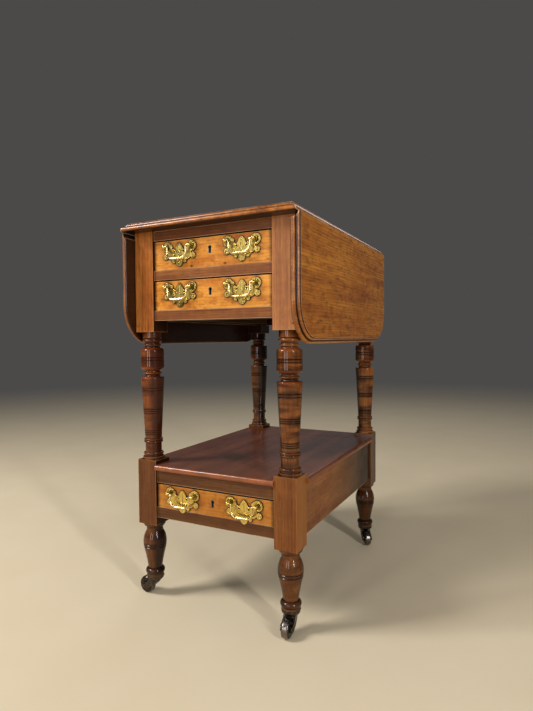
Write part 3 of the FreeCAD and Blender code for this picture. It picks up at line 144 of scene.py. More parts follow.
def soften(tree: Tree, height: Socket, sunk: bool, strength: float, depth_mm: float,
           round_mm: float) -> Socket:
    """Rounds a piece's edges off and gives its faces a fine relief.

    Args:
        tree: The material's tree.
        height: The relief's pattern.
        sunk: Whether the pattern is cut in, not raised.
        strength: How strongly the relief shows.
        depth_mm: Its depth.
        round_mm: Radius of the rounded edges.

    Returns:
        The normal.
    """
    rounded = add_node(tree, "ShaderNodeBevel", {"samples": ROUNDING_LOOKS}, {"Radius": round_mm * MM})
    return add_node(tree, "ShaderNodeBump", {"invert": sunk}, {
        "Strength": strength, "Distance": depth_mm * MM, "Height": height,
        "Normal": rounded.outputs[0]}).outputs[0]


class Grain(Enum):
    """The axis that a board's grain runs along."""

    ACROSS = 0
    DEPTH = 1
    UPRIGHT = 2

    def scale(self, across_mm: float, along_mm: float) -> Triple:
        """The pattern scale for features of a width and a length, in mm, along this grain."""
        return tuple(1 / ((along_mm if axis == self.value else across_mm) * MM) for axis in range(3))

    @property
    def letter(self) -> str:
        """The axis as Blender names it."""
        return "XYZ"[self.value]


@dataclass(frozen=True)
class Stain:
    """A tone over part of a board.

    Attributes:
        colour: The stain's colour.
        strength: How much of the wood it covers.
        facing: The way that the stained faces look, or None for all faces.
        spans: Stretches of height in metres that are stained, or none for the whole height.
        depth: The places along the depth, in metres, between which the tone comes in, or None.
        uneven: How far the tone has worn thin in low, wide patches.
    """

    colour: str
    strength: float
    facing: Triple | None = None
    spans: tuple[Pair, ...] = ()
    depth: Pair | None = None
    uneven: float = 0.0

    def over(self, *spans: Pair) -> "Stain":
        """This stain over stretches of height only."""
        return replace(self, spans=spans)

    def cover(self, tree: Tree, under: Socket) -> Socket:
        """Lays the stain over a colour.

        Args:
            tree: The material's tree.
            under: The colour so far.

        Returns:
            The stained colour.
        """
        coordinates = add_node(tree, "ShaderNodeTexCoord").outputs
        place = add_node(tree, "ShaderNodeSeparateXYZ", inputs={0: coordinates["Object"]}).outputs
        shares: list[Socket] = []
        if self.facing:
            turned = add_node(tree, "ShaderNodeVectorMath", {"operation": "DOT_PRODUCT"},
                              {0: coordinates["Normal"], 1: self.facing})
            shares.append(add_node(tree, "ShaderNodeMapRange", inputs={
                "Value": turned.outputs["Value"], "From Min": 0.35, "From Max": 0.75}).outputs[0])
        if self.depth:
            start, full = self.depth
            shares.append(add_node(tree, "ShaderNodeMapRange", inputs={
                "Value": place["Y"], "From Min": start, "From Max": full}).outputs[0])
        if self.spans:
            shares.append(self.inside(tree, place["Z"]))
        if self.uneven:
            shares.append(self.thinned(tree, coordinates["Object"]))
        amount: Any = self.strength
        for share in shares:
            amount = add_node(tree, "ShaderNodeMath", {"operation": "MULTIPLY"},
                              {0: amount, 1: share}).outputs[0]
        return add_node(tree, "ShaderNodeMix", {"data_type": "RGBA"},
                        {0: amount, 6: under, 7: linear(self.colour)}).outputs[2]

    def inside(self, tree: Tree, height: Socket) -> Socket:
        """Finds the stretches of height that are stained.

        Args:
            tree: The material's tree.
            height: The height of each place.

        Returns:
            1 inside them.
        """
        total: Any = 0.0
        for foot, top in self.spans:
            within = add_node(tree, "ShaderNodeMath", {"operation": "COMPARE"},
                              {0: height, 1: (foot + top) / 2, 2: (top - foot) / 2})
            total = add_node(tree, "ShaderNodeMath", {"operation": "ADD"},
                             {0: within.outputs[0], 1: total}).outputs[0]
        return total

    def thinned(self, tree: Tree, place: Socket) -> Socket:
        """Wears the stain thin in low, wide patches.

        Args:
            tree: The material's tree.
            place: Object coordinates.

        Returns:
            The share of the stain that is left.
        """
        wide_mm, high_mm = 60.0, 14.0
        patches = add_node(tree, "ShaderNodeMapping", inputs={
            "Vector": place, "Scale": Grain.UPRIGHT.scale(wide_mm, high_mm)})
        worn = add_node(tree, "ShaderNodeTexNoise", inputs={
            "Vector": patches.outputs[0], "Scale": 1.0, "Detail": 3.0})
        return add_node(tree, "ShaderNodeMapRange", inputs={
            "Value": worn.outputs[0], "From Min": 0.38, "From Max": 0.62,
            "To Min": 1 - self.uneven}).outputs[0]


@dataclass(frozen=True)
class Knot:
    """A small dark knot in a drawer front.

    Attributes:
        across: Its place across the front, in metres.
        up: Its height, in metres.
        radius: Its size, in metres.
        squeeze: Its height as a share of its length along the grain.
    """

    across: float
    up: float
    radius: float = 1.6 * MM
    squeeze: float = 0.6

    def distance(self, tree: Tree, place: Socket) -> Socket:
        """Measures how far each place is from the knot, shorter along the grain.

        Args:
            tree: The material's tree.
            place: Object coordinates.

        Returns:
            The distance.
        """
        flat = add_node(tree, "ShaderNodeVectorMath", {"operation": "MULTIPLY"},
                        {0: place, 1: (self.squeeze, 0.0, 1.0)})
        return add_node(tree, "ShaderNodeVectorMath", {"operation": "DISTANCE"},
                        {0: flat.outputs[0], 1: (self.squeeze * self.across, 0.0, self.up)}).outputs["Value"]


@dataclass(frozen=True)
class Cut:
    """A board as it was cut from its log, for the patterns in its wood.

    Attributes:
        tree: The material's tree.
        place: Object coordinates.
        grain: The way the grain runs.
        start: Where in the log the board lies.
    """

    tree: Tree
    place: Socket
    grain: Grain
    start: Triple

    def streaks(self, width_mm: float, length_mm: float, detail: float) -> Socket:
        """Draws noise out along the grain.

        Args:
            width_mm: Width of a streak.
            length_mm: Length of a streak.
            detail: Octaves of finer noise.

        Returns:
            The noise, about 0 to 1.
        """
        drawn = add_node(self.tree, "ShaderNodeMapping", inputs={
            "Vector": self.place, "Location": self.start, "Scale": self.grain.scale(width_mm, length_mm)})
        return add_node(self.tree, "ShaderNodeTexNoise", inputs={
            "Vector": drawn.outputs[0], "Scale": 1.0, "Detail": detail, "Roughness": 0.55}).outputs[0]

    def rings(self, spacing_mm: float) -> Socket:
        """Draws growth lines that waver slowly along the grain.

        Args:
            spacing_mm: From line to line.

        Returns:
            The lines, 0 to 1.
        """
        # A wave texture has 20 / (2 pi) lines in a unit
        wave_period, stretch = 2 * math.pi / 20, 30
        fine = self.grain.scale(spacing_mm, spacing_mm * stretch)
        drawn = add_node(self.tree, "ShaderNodeMapping", inputs={
            "Vector": self.place, "Location": self.start, "Scale": tuple(s * wave_period for s in fine)})
        return add_node(self.tree, "ShaderNodeTexWave",
                        {"wave_type": "RINGS", "rings_direction": self.grain.letter},
                        {"Vector": drawn.outputs[0], "Scale": 1.0, "Distortion": 6.0, "Detail": 2.0,
                         "Detail Scale": 1.6, "Detail Roughness": 0.55}).outputs["Fac"]


@dataclass(frozen=True)
class WoodFinish:
    """A wood as it was cut and finished.

    Attributes:
        name: The material's name.
        deep: Colour of the darker bands.
        pale: Colour of the lighter bands.
        pore: Colour of the open pores and growth lines.
        worn: Colour where edges have rubbed through; on the top and the leaves it is also a painted highlight.
        grime_and_shade: Colour of old wax and of painted shade in hollows.
        band_mm: Width of the broad bands.
        band_stretch: How many times longer they are than wide.
        ring_mm: Spacing of the growth lines.
        pore_mm: Width of the pore streaks.
        pore_depth: How strongly pores show.
        ripple: How strongly the cross figure shows.
        mottling: How strongly dark blotches show.
        roughness: Of the bare surface.
        specular: Of the bare surface.
        coat: Weight of the polish.
        coat_roughness: Of the polish.
        ior: Of the wood and of the polish.
        wear_and_highlight: How strongly edges are rubbed, and on the top and the leaves how strongly they
            carry a painted highlight.
        edge_mm: How far from an edge it is rubbed.
        soiling_and_shade: How strongly hollows are filled with old wax and painted shade.
        openness: How open to the light a place is where the wax and painted shade start, and where they are
            thickest.
        hollow_mm: How wide a hollow is that holds wax and painted shade.
        alone: Whether only the board's own hollows hold wax and painted shade, and not the lines round what is
            fixed to it, where it is painted shadow.
    """

    name: str
    deep: str
    pale: str
    pore: str
    worn: str
    grime_and_shade: str
    band_mm: float = 26.0
    band_stretch: float = 14.0
    ring_mm: float = 5.5
    pore_mm: float = 1.5
    pore_depth: float = 0.55
    ripple: float = 0.25
    mottling: float = 0.35
    roughness: float = 0.38
    specular: float = 0.25
    coat: float = 0.2
    coat_roughness: float = 0.14
    ior: float = 1.5
    wear_and_highlight: float = 0.5
    edge_mm: float = 2.2
    soiling_and_shade: float = 0.85
    openness: Pair = (0.9, 0.4)
    hollow_mm: float = 4.5
    alone: bool = True

    def material(self, board: str, grain: Grain, number: int, stains: tuple[Stain, ...] = (),
                 knots: tuple[Knot, ...] = ()) -> Material:
        """Makes this wood for one board.

        Args:
            board: The board's name.
            grain: The way its grain runs.
            number: Picks the stretch of the log that the board comes from.
            stains: Other tones over parts of it.
            knots: Knots in its front.

        Returns:
            The board's material.
        """
        material, tree = new_material(f"{self.name}_{board}")
        start = tuple(step * number + first for first, step in zip(LOG_START, LOG_STEP))
        cut = Cut(tree, add_node(tree, "ShaderNodeTexCoord").outputs["Object"], grain, start)
        # Pores, drawn about twice their real width so that they show at this size
        pores = cut.streaks(self.pore_mm, self.pore_mm * 20, 2.0)
        pits = add_node(tree, "ShaderNodeMapRange", inputs={
            "Value": pores, "From Min": 0.52, "From Max": 0.72, "To Max": self.pore_depth}).outputs[0]
        # Old polish, uneven from patch to patch
        patina = cut.streaks(55.0, 90.0, 4.0)
        rough = add_node(tree, "ShaderNodeMapRange", inputs={
            "Value": patina, "From Min": 0.3, "From Max": 0.7, "To Min": self.roughness - 0.08,
            "To Max": self.roughness + 0.1})
        colour = lay(tree, self.figure(cut), self.pore, pits)
        colour = self.marks(cut, colour, patina, knots)
        for stain in stains:
            colour = stain.cover(tree, colour)
        shader = add_node(tree, "ShaderNodeBsdfPrincipled", inputs={
            "Base Color": self.edges_and_hollows(tree, colour, patina), "Roughness": rough.outputs[0],
            "Normal": soften(tree, pits, sunk=True, strength=0.25, depth_mm=0.2, round_mm=0.7),
            "IOR": self.ior, "Specular IOR Level": self.specular, "Coat Weight": self.coat,
            "Coat Roughness": self.coat_roughness, "Coat IOR": self.ior})
        add_node(tree, "ShaderNodeOutputMaterial", inputs={"Surface": shader.outputs[0]})
        return material

    def figure(self, cut: Cut) -> Socket:
        """Draws the bands, the growth lines and the cross figure.

        Args:
            cut: The board.

        Returns:
            The colour of the planed wood.
        """
        tree, wide = cut.tree, self.band_mm
        # Broad bands of heartwood, long along the grain, and growth lines over them
        bands = cut.streaks(wide, wide * self.band_stretch, 3.0)
        colour = lay(tree, linear(self.deep), self.pale, bands, (0.34, 0.66))
        colour = lay(tree, colour, self.pore, cut.rings(self.ring_mm), (0.5, 1.0), 0.5 * self.pore_depth)
        # Soft ripples of light over the grain, and dark blotches where it turns
        ripples = cut.streaks(wide * 1.2, wide * 0.5, 1.0)
        colour = lay(tree, colour, self.pale, ripples, (0.45, 0.75), self.ripple)
        blotches = cut.streaks(wide * 0.45, wide * 0.9, 4.0)
        return lay(tree, colour, self.pore, blotches, (0.5, 0.72), self.mottling)

    def marks(self, cut: Cut, colour: Socket, patina: Socket, knots: tuple[Knot, ...]) -> Socket:
        """Lays uneven old polish, a few dark spots and the knots over the wood.

        Args:
            cut: The board.
            colour: The colour so far.
            patina: The pattern of the old polish.
            knots: The board's knots.

        Returns:
            The marked colour.
        """
        tree = cut.tree
        colour = lay(tree, colour, self.deep, patina, (0.5, 0.78), 0.45)
        colour = lay(tree, colour, self.grime_and_shade, cut.streaks(4.0, 7.0, 2.0), (0.7, 0.76), 0.6)
        for knot in knots:
            rim, heart = knot.radius * 1.7, knot.radius * 0.4
            colour = lay(tree, colour, self.grime_and_shade, knot.distance(tree, cut.place), (rim, heart), 0.9)
        return colour

    def edges_and_hollows(self, tree: Tree, colour: Socket, patina: Socket) -> Socket:
        """Rubs the edges here and there, partly as a painted highlight, and fills the hollows with old wax and
        painted shade.

        Args:
            tree: The material's tree.
            colour: The colour so far.
            patina: The pattern of the old polish.

        Returns:
            The finished colour.
        """
        # Rubbed edges, which on the top and the leaves are also a painted highlight
        edge = add_node(tree, "ShaderNodeAmbientOcclusion", LOOK_IN, {"Distance": self.edge_mm * MM})
        rubbed = add_node(tree, "ShaderNodeMapRange", inputs={
            "Value": patina, "From Min": 0.3, "From Max": 0.55, "To Max": self.wear_and_highlight})
        colour = lay(tree, colour, self.worn, edge.outputs["AO"], (0.85, 0.45), rubbed.outputs[0])
        # Old wax and painted shade in the hollows, and painted shadow round fitted parts where the wood is not
        # alone
        hollow = add_node(tree, "ShaderNodeAmbientOcclusion", {"samples": LOOKS, "only_local": self.alone},
                          {"Distance": self.hollow_mm * MM})
        return lay(tree, colour, self.grime_and_shade, hollow.outputs["AO"], self.openness, self.soiling_and_shade)


@dataclass(frozen=True)
class MetalFinish:
    """A metal with its age on it.

    Attributes:
        name: The material's name.
        bright: Colour of the clean metal.
        dull: Colour of the tarnish that clouds it.
        dirt_and_shade: Colour of the grit in its hollows, and of painted shade there and under what stands
            over it.
        cloud_mm: Size of the tarnish clouds.
        clouding: How much tarnish there is.
        roughness: Of the clean metal.
        metallic: How much of the surface is bare metal.
        edge_wear: How bright the edges have rubbed.
        edge_mm: How far from an edge it is rubbed.
        soiling_and_shade: How strongly hollows are filled with grit and painted shade.
        hollow_mm: How wide a hollow is that holds grit and painted shade.
        tread: Colour of a wheel's tread, rubbed bright by the floor and given a painted highlight.
    """

    name: str
    bright: str
    dull: str
    dirt_and_shade: str
    cloud_mm: float = 6.0
    clouding: float = 0.5
    roughness: float = 0.28
    metallic: float = 1.0
    edge_wear: float = 0.6
    edge_mm: float = 0.8
    soiling_and_shade: float = 0.95
    hollow_mm: float = 3.0
    tread: str = ""

    @cache
    def material(self, wheel: str = "", axle: Triple | None = None) -> Material:
        """Makes the metal's material, once, or once for each wheel.

        Args:
            wheel: The wheel it is for, if it has a tread.
            axle: The way that the wheel's axle lies.

        Returns:
            The material.
        """
        material, tree = new_material(f"{self.name}_{wheel}" if wheel else self.name)
        coordinates = add_node(tree, "ShaderNodeTexCoord").outputs
        clouds = add_node(tree, "ShaderNodeTexNoise", inputs={
            "Vector": coordinates["Object"], "Scale": 1 / (self.cloud_mm * MM), "Detail": 4.0,
            "Roughness": 0.6}).outputs[0]
        colour = lay(tree, linear(self.bright), self.dull, clouds, (0.4, 0.7), self.clouding)
        edge = add_node(tree, "ShaderNodeAmbientOcclusion", LOOK_IN, {"Distance": self.edge_mm * MM})
        colour = lay(tree, colour, self.bright, edge.outputs["AO"], (0.8, 0.4), self.edge_wear)
        # The tread, rubbed bright and given a painted highlight
        if axle:
            along = add_node(tree, "ShaderNodeVectorMath", {"operation": "DOT_PRODUCT"},
                             {0: coordinates["Normal"], 1: axle}).outputs["Value"]
            sideways = add_node(tree, "ShaderNodeMath", {"operation": "MULTIPLY"}, {0: along, 1: along})
            colour = lay(tree, colour, self.tread, sideways.outputs[0], (0.6, 0.1))
        # Grit and painted shade in the hollows, and painted shadow from the parts round it
        hollow = add_node(tree, "ShaderNodeAmbientOcclusion", {"samples": LOOKS},
                          {"Distance": self.hollow_mm * MM})
        colour = lay(tree, colour, self.dirt_and_shade, hollow.outputs["AO"], (0.92, 0.5), self.soiling_and_shade)
        rough = add_node(tree, "ShaderNodeMapRange", inputs={
            "Value": clouds, "From Min": 0.35, "From Max": 0.7, "To Min": self.roughness - 0.06,
            "To Max": self.roughness + 0.18})
        shader = add_node(tree, "ShaderNodeBsdfPrincipled", inputs={
            "Base Color": colour, "Metallic": self.metallic, "Roughness": rough.outputs[0],
            "Normal": soften(tree, clouds, sunk=False, strength=0.15, depth_mm=0.1, round_mm=0.35)})
        add_node(tree, "ShaderNodeOutputMaterial", inputs={"Surface": shader.outputs[0]})
        return material


# Old mahogany, hand-rubbed with polish: warm golden brown, fine dark pores, a soft gloss
# Its pale edges are partly rubbed and partly a painted highlight
TOP_WOOD = WoodFinish("polished_mahogany_top", "804214", "b26a24", "3a1806", "dcb890", "0c0402",
                      pore_depth=0.6, ripple=0.3, mottling=0.5, specular=0.15, coat=0.45, coat_roughness=0.1,
                      wear_and_highlight=0.8, soiling_and_shade=1.0, openness=(0.94, 0.68))
# The leaves, a little paler and more golden than the top
LEAF_WOOD = replace(TOP_WOOD, name="polished_mahogany_leaf", deep="94501a", pale="c67e2c", pore="442008",
                    openness=(0.98, 0.74), hollow_mm=6.0)
# Legs of a redder stick, polished glossier than the case, and pegs of the same stick
LEG_WOOD = WoodFinish("polished_mahogany_leg", "84441a", "b87234", "46200a", "c8823c", "120703",
                      roughness=0.36, specular=0.08, coat=0.45, coat_roughness=0.08, soiling_and_shade=0.95)
PEG_WOOD = replace(LEG_WOOD, name="polished_mahogany_peg", wear_and_highlight=0.0)
# The case, a duller brown with pale rubbed edges
CASE_WOOD = WoodFinish("polished_mahogany_case", "6e3a18", "9c612e", "3a1a0a", "cca078", "1c0d07",
                       roughness=0.42, specular=0.18, wear_and_highlight=0.9)
# The shelf was polished darkest
SHELF_WOOD = WoodFinish("polished_mahogany_shelf", "481f10", "6e3820", "220d06", "b4642a", "150906",
                        roughness=0.36, specular=0.12, coat=0.5, coat_roughness=0.14, wear_and_highlight=0.9, soiling_and_shade=1.0,
                        openness=(0.96, 0.72))
# Golden drawer fronts with a soft mottled figure
# Old wax and painted shadow darken the fronts round the brass and in the gaps
FRONT_WOOD = WoodFinish("polished_golden_mahogany", "b0661c", "da943a", "7a3c10", "dca658", "1c0c04",
                        ripple=0.5, pore_depth=0.35, mottling=0.7, band_mm=18.0, band_stretch=5.0,
                        roughness=0.36, specular=0.2, soiling_and_shade=0.95, openness=(0.98, 0.8), hollow_mm=9.0,
                        alone=False)
# Planed pine and oak inside, never polished
INNER_WOOD = WoodFinish("planed_secondary_wood", "8d6a44", "b8946a", "6d4d2e", "c7a780", "4a3620",
                        roughness=0.62, specular=0.04, coat=0.0, ripple=0.1, wear_and_highlight=0.2, soiling_and_shade=0.5)
# Painted shade on faces that look down, on inner faces, and on the back legs' faces towards the case
SHADE_UNDER = Stain("1c0b06", 0.94, facing=DOWN)
SHADE_FACING_RIGHT = Stain("1a0a06", 0.94, facing=RIGHT)
SHADE_FACING_LEFT = replace(SHADE_FACING_RIGHT, facing=LEFT)
SHADE_FACING_FRONT = replace(SHADE_FACING_RIGHT, facing=FRONT)
SHADE_BEHIND = replace(SHADE_UNDER, strength=0.9, facing=FRONT)
# The runners and fly rails inside the case: darker old wood, with painted shade
AGED_AND_SHADED = Stain("22100a", 0.86)
# Turned stretches took more polish, the feet were soiled darker and the lower blocks are darker; painted shade
# darkens the lower case, and painted shadow the top rail under the top
TURNED = Stain("240a02", 0.9, uneven=0.55)
FOOT = Stain("1c0a04", 0.78, uneven=0.2)
LOW_BLOCK = Stain("361602", 0.62)
SHADE_LOW_CASE = Stain("220e02", 0.66)
SHADED_RAIL = Stain("3a180c", 0.4)
RAIL = Stain("4a2814", 0.16)
# No two legs are of one stick: a darker lower block and a redder column; a painted sheen on a front block,
# painted light on the right side of a lower block, and painted shade on the back legs
SHEEN_BLOCK = Stain("d4a07a", 0.2, facing=FRONT)
LIT_SIDE = Stain("b87022", 0.36, facing=RIGHT)
DARK_BLOCK = Stain("1c0a02", 0.3)
SHADE_LEG = Stain("140603", 0.5)
REDDENED = Stain("7c3210", 0.13)
# Painted shade darkens the lower drawer more than those above it
SHADE_LOWER_DRAWER = Stain("6a3804", 0.42)
# The lower sides darken towards the back, partly as darker board and partly as painted shade
SHADE_TOWARDS_BACK = Stain("160804", 0.94, depth=(-0.09, 0.15))
# The shelf has a painted sheen towards its front, and is rubbed to bare wood along its edges
SHEEN_FORE = Stain("8a5a44", 0.3, depth=(0.02, -0.22))
FRONT_EDGE = Stain("b0602a", 0.46, facing=FRONT, uneven=0.7)
SIDE_EDGES = tuple(replace(FRONT_EDGE, strength=0.3, facing=side) for side in (RIGHT, LEFT))
# The leaves' edges have lost their gold to hands
LEAF_EDGE = Stain("56342a", 0.45, facing=FRONT)
# The toes are blackened like the castors under them
TOE = Stain("1c1210", 0.62)
# Old polish and painted shade lie black in the cut lines, old polish lies dark beside them, and it is rubbed
# off the rims of the turning
CUT_LINE = Stain("0c0402", 0.75)
LINE_BAND = Stain("240c04", 0.5)
RIM = Stain("8a3c14", 0.3)
# Cast brass, clouded and dark in the hollows, with painted shadow under the bails and round the plates; the
# bails are rubbed bright by hands
BRASS = MetalFinish("cast_brass", "eccc70", "8a6826", "080401", clouding=0.5, roughness=0.26, hollow_mm=9.0)
HANDLED_BRASS = MetalFinish("handled_brass", "f4dea2", "66501f", "080401", clouding=0.4, roughness=0.2,
                            edge_wear=0.2, hollow_mm=10.0)
# Wrought iron hinges, oiled and gone brown
HINGE_IRON = MetalFinish("oiled_iron", "6e665e", "3a322b", "1a1410", clouding=0.9, roughness=0.45)
# Locks of a dull grey iron, which shows pale round the keyholes
LOCK_IRON = MetalFinish("dull_lock_iron", "7c7670", "6e6862", "110c09", clouding=0.2, roughness=0.64,
                        metallic=0.7, edge_wear=0.0, soiling_and_shade=0.0)
# Blackened castors, worn to metal on the rims and the treads, with a painted highlight on the treads
CASTOR_IRON = MetalFinish("blackened_iron", "5c534c", "1c1714", "0a0807", clouding=0.95, roughness=0.22)
WHEEL_IRON = MetalFinish("worn_castor_iron", "4e443c", "191411", "0a0807", clouding=1.0, roughness=0.24,
                         edge_wear=0.8, tread="7c736b")


def paint(node: str, material: Material) -> None:
    """Gives a CAD node its material.

    Args:
        node: The node's name.
        material: The material.
    """
    for slot in frame["nodes"][node].material_slots:
        slot.material = material


def link(name: str, mesh: bpy.types.Mesh) -> Piece:
    """Puts a mesh into the scene as an object at the origin.

    Args:
        name: The object's name.
        mesh: Its mesh.

    Returns:
        The object.
    """
    piece = bpy.data.objects.new(name, mesh)
    bpy.context.scene.collection.objects.link(piece)
    return piece


class Input(Enum):
    """What kind of value a tree's named input takes."""

    LENGTH = "NodeSocketFloat"
    COUNT = "NodeSocketInt"
    CHOICE = "NodeSocketBool"
    FINISH = "NodeSocketMaterial"


def new_tree(name: str, inputs: dict[str, Input]) -> tuple[Tree, dict[str, Socket]]:
    """Starts a Geometry Nodes tree.

    Args:
        name: The tree's name.
        inputs: Its named inputs, after the geometry and before the finish.

    Returns:
        The tree and its input sockets by name.
    """
    tree = bpy.data.node_groups.new(name, "GeometryNodeTree")
    tree.interface.new_socket("Geometry", in_out="INPUT", socket_type="NodeSocketGeometry")
    for label, kind in {**inputs, "Finish": Input.FINISH}.items():
        tree.interface.new_socket(label, in_out="INPUT", socket_type=kind.value)
    tree.interface.new_socket("Geometry", in_out="OUTPUT", socket_type="NodeSocketGeometry")
    start = add_node(tree, "NodeGroupInput")
    return tree, {socket.name: socket for socket in start.outputs if socket.name}


def end_tree(tree: Tree, geometry: Socket, finish: Socket) -> None:
    """Ends a tree: instances made real and the material set.

    Args:
        tree: The tree.
        geometry: What it has made.
        finish: The material.
    """
    real = add_node(tree, "GeometryNodeRealizeInstances", inputs={"Geometry": geometry})
    painted = add_node(tree, "GeometryNodeSetMaterial", inputs={
        "Geometry": real.outputs[0], "Material": finish})
    add_node(tree, "NodeGroupOutput", inputs={0: painted.outputs[0]})


def scatter(tree: Tree, given: dict[str, Socket], shape: Socket, most_turn: float) -> None:
    """Ends a tree with a shape on each point, facing the point's way and turned at random.

    Args:
        tree: The tree.
        given: Its input sockets by name.
        shape: The shape, standing along Z.
        most_turn: The largest turn, in radians.
    """
    facing = add_node(tree, "GeometryNodeInputNamedAttribute", {"data_type": "FLOAT_VECTOR"},
                      {"Name": "facing"})
    aimed = add_node(tree, "FunctionNodeAlignRotationToVector", {"axis": "Z"}, {"Vector": facing.outputs[0]})
    turn = add_node(tree, "FunctionNodeRandomValue", {"data_type": "FLOAT"},
                    {2: 0.0, 3: most_turn, "Seed": given["Seed"]})
    spin = add_node(tree, "FunctionNodeAxisAngleToRotation", inputs={
        "Axis": (0, 0, 1), "Angle": turn.outputs[1]})
    turned = add_node(tree, "FunctionNodeRotateRotation", {"rotation_space": "LOCAL"},
                      {"Rotation": aimed.outputs[0], "Rotate By": spin.outputs[0]})
    placed = add_node(tree, "GeometryNodeInstanceOnPoints", inputs={
        "Points": given["Geometry"], "Instance": shape, "Rotation": turned.outputs[0]})
    end_tree(tree, placed.outputs[0], given["Finish"])


@dataclass(frozen=True)
class Fitting:
    """A new piece on one of the CAD bodies.

    Attributes:
        name: The piece's name.
        body: The CAD body that it rides on.
        slot: The record's material slot; not used.
        finish: Its material.
    """

    name: str
    body: str
    slot: str
    finish: Material

    def grow(self, seedbed: bpy.types.Mesh, tree: Tree, values: dict[str, Any]) -> Piece:
        """Runs a tree over a mesh and keeps the result as a plain mesh.

        Args:
            seedbed: The mesh that the tree works on.
            tree: The tree.
            values: A value for each named input but the finish.

        Returns:
            The finished piece, with no modifier left.
        """
        piece = link(self.name, seedbed)
        modifier = piece.modifiers.new(tree.name, "NODES")
        modifier.node_group = tree
        given = {**values, "Finish": self.finish}
        for socket in tree.interface.items_tree:
            if socket.in_out == "INPUT" and socket.name in given:
                modifier[socket.identifier] = given[socket.name]
        done = bpy.data.meshes.new_from_object(piece.evaluated_get(bpy.context.evaluated_depsgraph_get()))
        piece.modifiers.clear()
        piece.data = done
        done.name = self.name
        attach(piece, self.body)
        return piece

    def grow_on(self, places: list[Place], tree: Tree, values: dict[str, Any]) -> Piece:
        """Runs a tree over single points.

        Args:
            places: The points, and the way that each one faces.
            tree: The tree.
            values: A value for each named input but the seed and the finish.

        Returns:
            The finished piece.
        """
        mesh = bpy.data.meshes.new(self.name + "_points")
        mesh.from_pydata([tuple(at) for at, _ in places], [], [])
        facing = mesh.attributes.new("facing", "FLOAT_VECTOR", "POINT")
        facing.data.foreach_set("vector", [c for _, way in places for c in way])
        return self.grow(mesh, tree, {**values, "Seed": len(self.name)})


@dataclass(frozen=True)
class Nut:
    """Square nuts on bolt ends, for what is bolted through from the front."""

    size: float = 6.4 * MM
    depth: float = 2.4 * MM
    bolt_radius: float = 1.5 * MM
    bolt_tail: float = 3.2 * MM

    @staticmethod
    @cache
    def tree() -> Tree:
        """Sets a square nut with a bolt's end through it on each point.

        Returns:
            The tree, made once.
        """
        tree, given = new_tree("square_nuts", {
            "Nut Size": Input.LENGTH, "Nut Depth": Input.LENGTH, "Bolt Radius": Input.LENGTH,
            "Bolt Tail": Input.LENGTH, "Seed": Input.COUNT})
        size = add_node(tree, "ShaderNodeCombineXYZ", inputs={
            "X": given["Nut Size"], "Y": given["Nut Size"], "Z": given["Nut Depth"]})
        block = add_node(tree, "GeometryNodeMeshCube", inputs={"Size": size.outputs[0]})
        half = add_node(tree, "ShaderNodeMath", {"operation": "MULTIPLY"}, {0: given["Nut Depth"], 1: 0.5})
        seat = add_node(tree, "ShaderNodeCombineXYZ", inputs={"Z": half.outputs[0]})
        nut = add_node(tree, "GeometryNodeTransform", inputs={
            "Geometry": block.outputs[0], "Translation": seat.outputs[0]})
        rod = add_node(tree, "GeometryNodeMeshCylinder", inputs={
            "Vertices": 14, "Radius": given["Bolt Radius"], "Depth": given["Bolt Tail"]})
        rise = add_node(tree, "ShaderNodeCombineXYZ", inputs={"Z": given["Nut Depth"]})
        tail = add_node(tree, "GeometryNodeTransform", inputs={
            "Geometry": rod.outputs["Mesh"], "Translation": rise.outputs[0]})
        both = add_node(tree, "GeometryNodeJoinGeometry", inputs={0: nut.outputs[0]})
        tree.links.new(tail.outputs[0], both.inputs[0])
        scatter(tree, given, both.outputs[0], math.pi / 2)
        return tree

    def build(self, fitting: Fitting, places: list[Place]) -> Piece:
        """Sets a nut on each place.

        Args:
            fitting: What the nuts are called and ride on.
            places: Points and the way that each bolt's end looks.

        Returns:
            The nuts, as one piece.
        """
        return fitting.grow_on(places, self.tree(), {
            "Nut Size": self.size, "Nut Depth": self.depth, "Bolt Radius": self.bolt_radius,
            "Bolt Tail": self.bolt_tail})


@dataclass(frozen=True)
class Relief:
    """Raised scrolls that follow paths, as cast on a plate."""

    bead: float = 0.75 * MM

    @staticmethod
    @cache
    def tree() -> Tree:
        """Lays a round bead, thin at its ends, along each path.

        Returns:
            The tree, made once.
        """
        tree, given = new_tree("relief_scrolls", {"Bead Radius": Input.LENGTH})
        paths = add_node(tree, "GeometryNodeMeshToCurve", inputs={"Mesh": given["Geometry"]})
        along = add_node(tree, "GeometryNodeSplineParameter").outputs["Factor"]
        from_end = add_node(tree, "ShaderNodeMath", {"operation": "PINGPONG"}, {0: along, 1: 0.5})
        thin, taper = 0.35, 0.3
        swell = add_node(tree, "ShaderNodeMapRange", inputs={
            "Value": from_end.outputs[0], "From Max": taper, "To Min": thin}).outputs[0]
        shaped = add_node(tree, "GeometryNodeSetCurveRadius", inputs={
            "Curve": paths.outputs[0], "Radius": swell})
        ring = add_node(tree, "GeometryNodeCurvePrimitiveCircle", inputs={
            "Resolution": 8, "Radius": given["Bead Radius"]})
        beads = add_node(tree, "GeometryNodeCurveToMesh", inputs={
            "Curve": shaped.outputs[0], "Profile Curve": ring.outputs[0], "Scale": swell, "Fill Caps": True})
        end_tree(tree, beads.outputs[0], given["Finish"])
        return tree

    def build(self, fitting: Fitting, paths: list[list[Vector]]) -> Piece:
        """Lays a bead along each path.

        Args:
            fitting: What the beads are called and ride on.
            paths: Points along each path.

        Returns:
            The beads, as one piece.
        """
        mesh = bpy.data.meshes.new(fitting.name + "_paths")
        points, edges = [], []
        for path in paths:
            first = len(points)
            points += [tuple(point) for point in path]
            edges += [(i, i + 1) for i in range(first, len(points) - 1)]
        mesh.from_pydata(points, edges, [])
        piece = fitting.grow(mesh, self.tree(), {"Bead Radius": self.bead})
        piece.data.shade_smooth()
        return piece


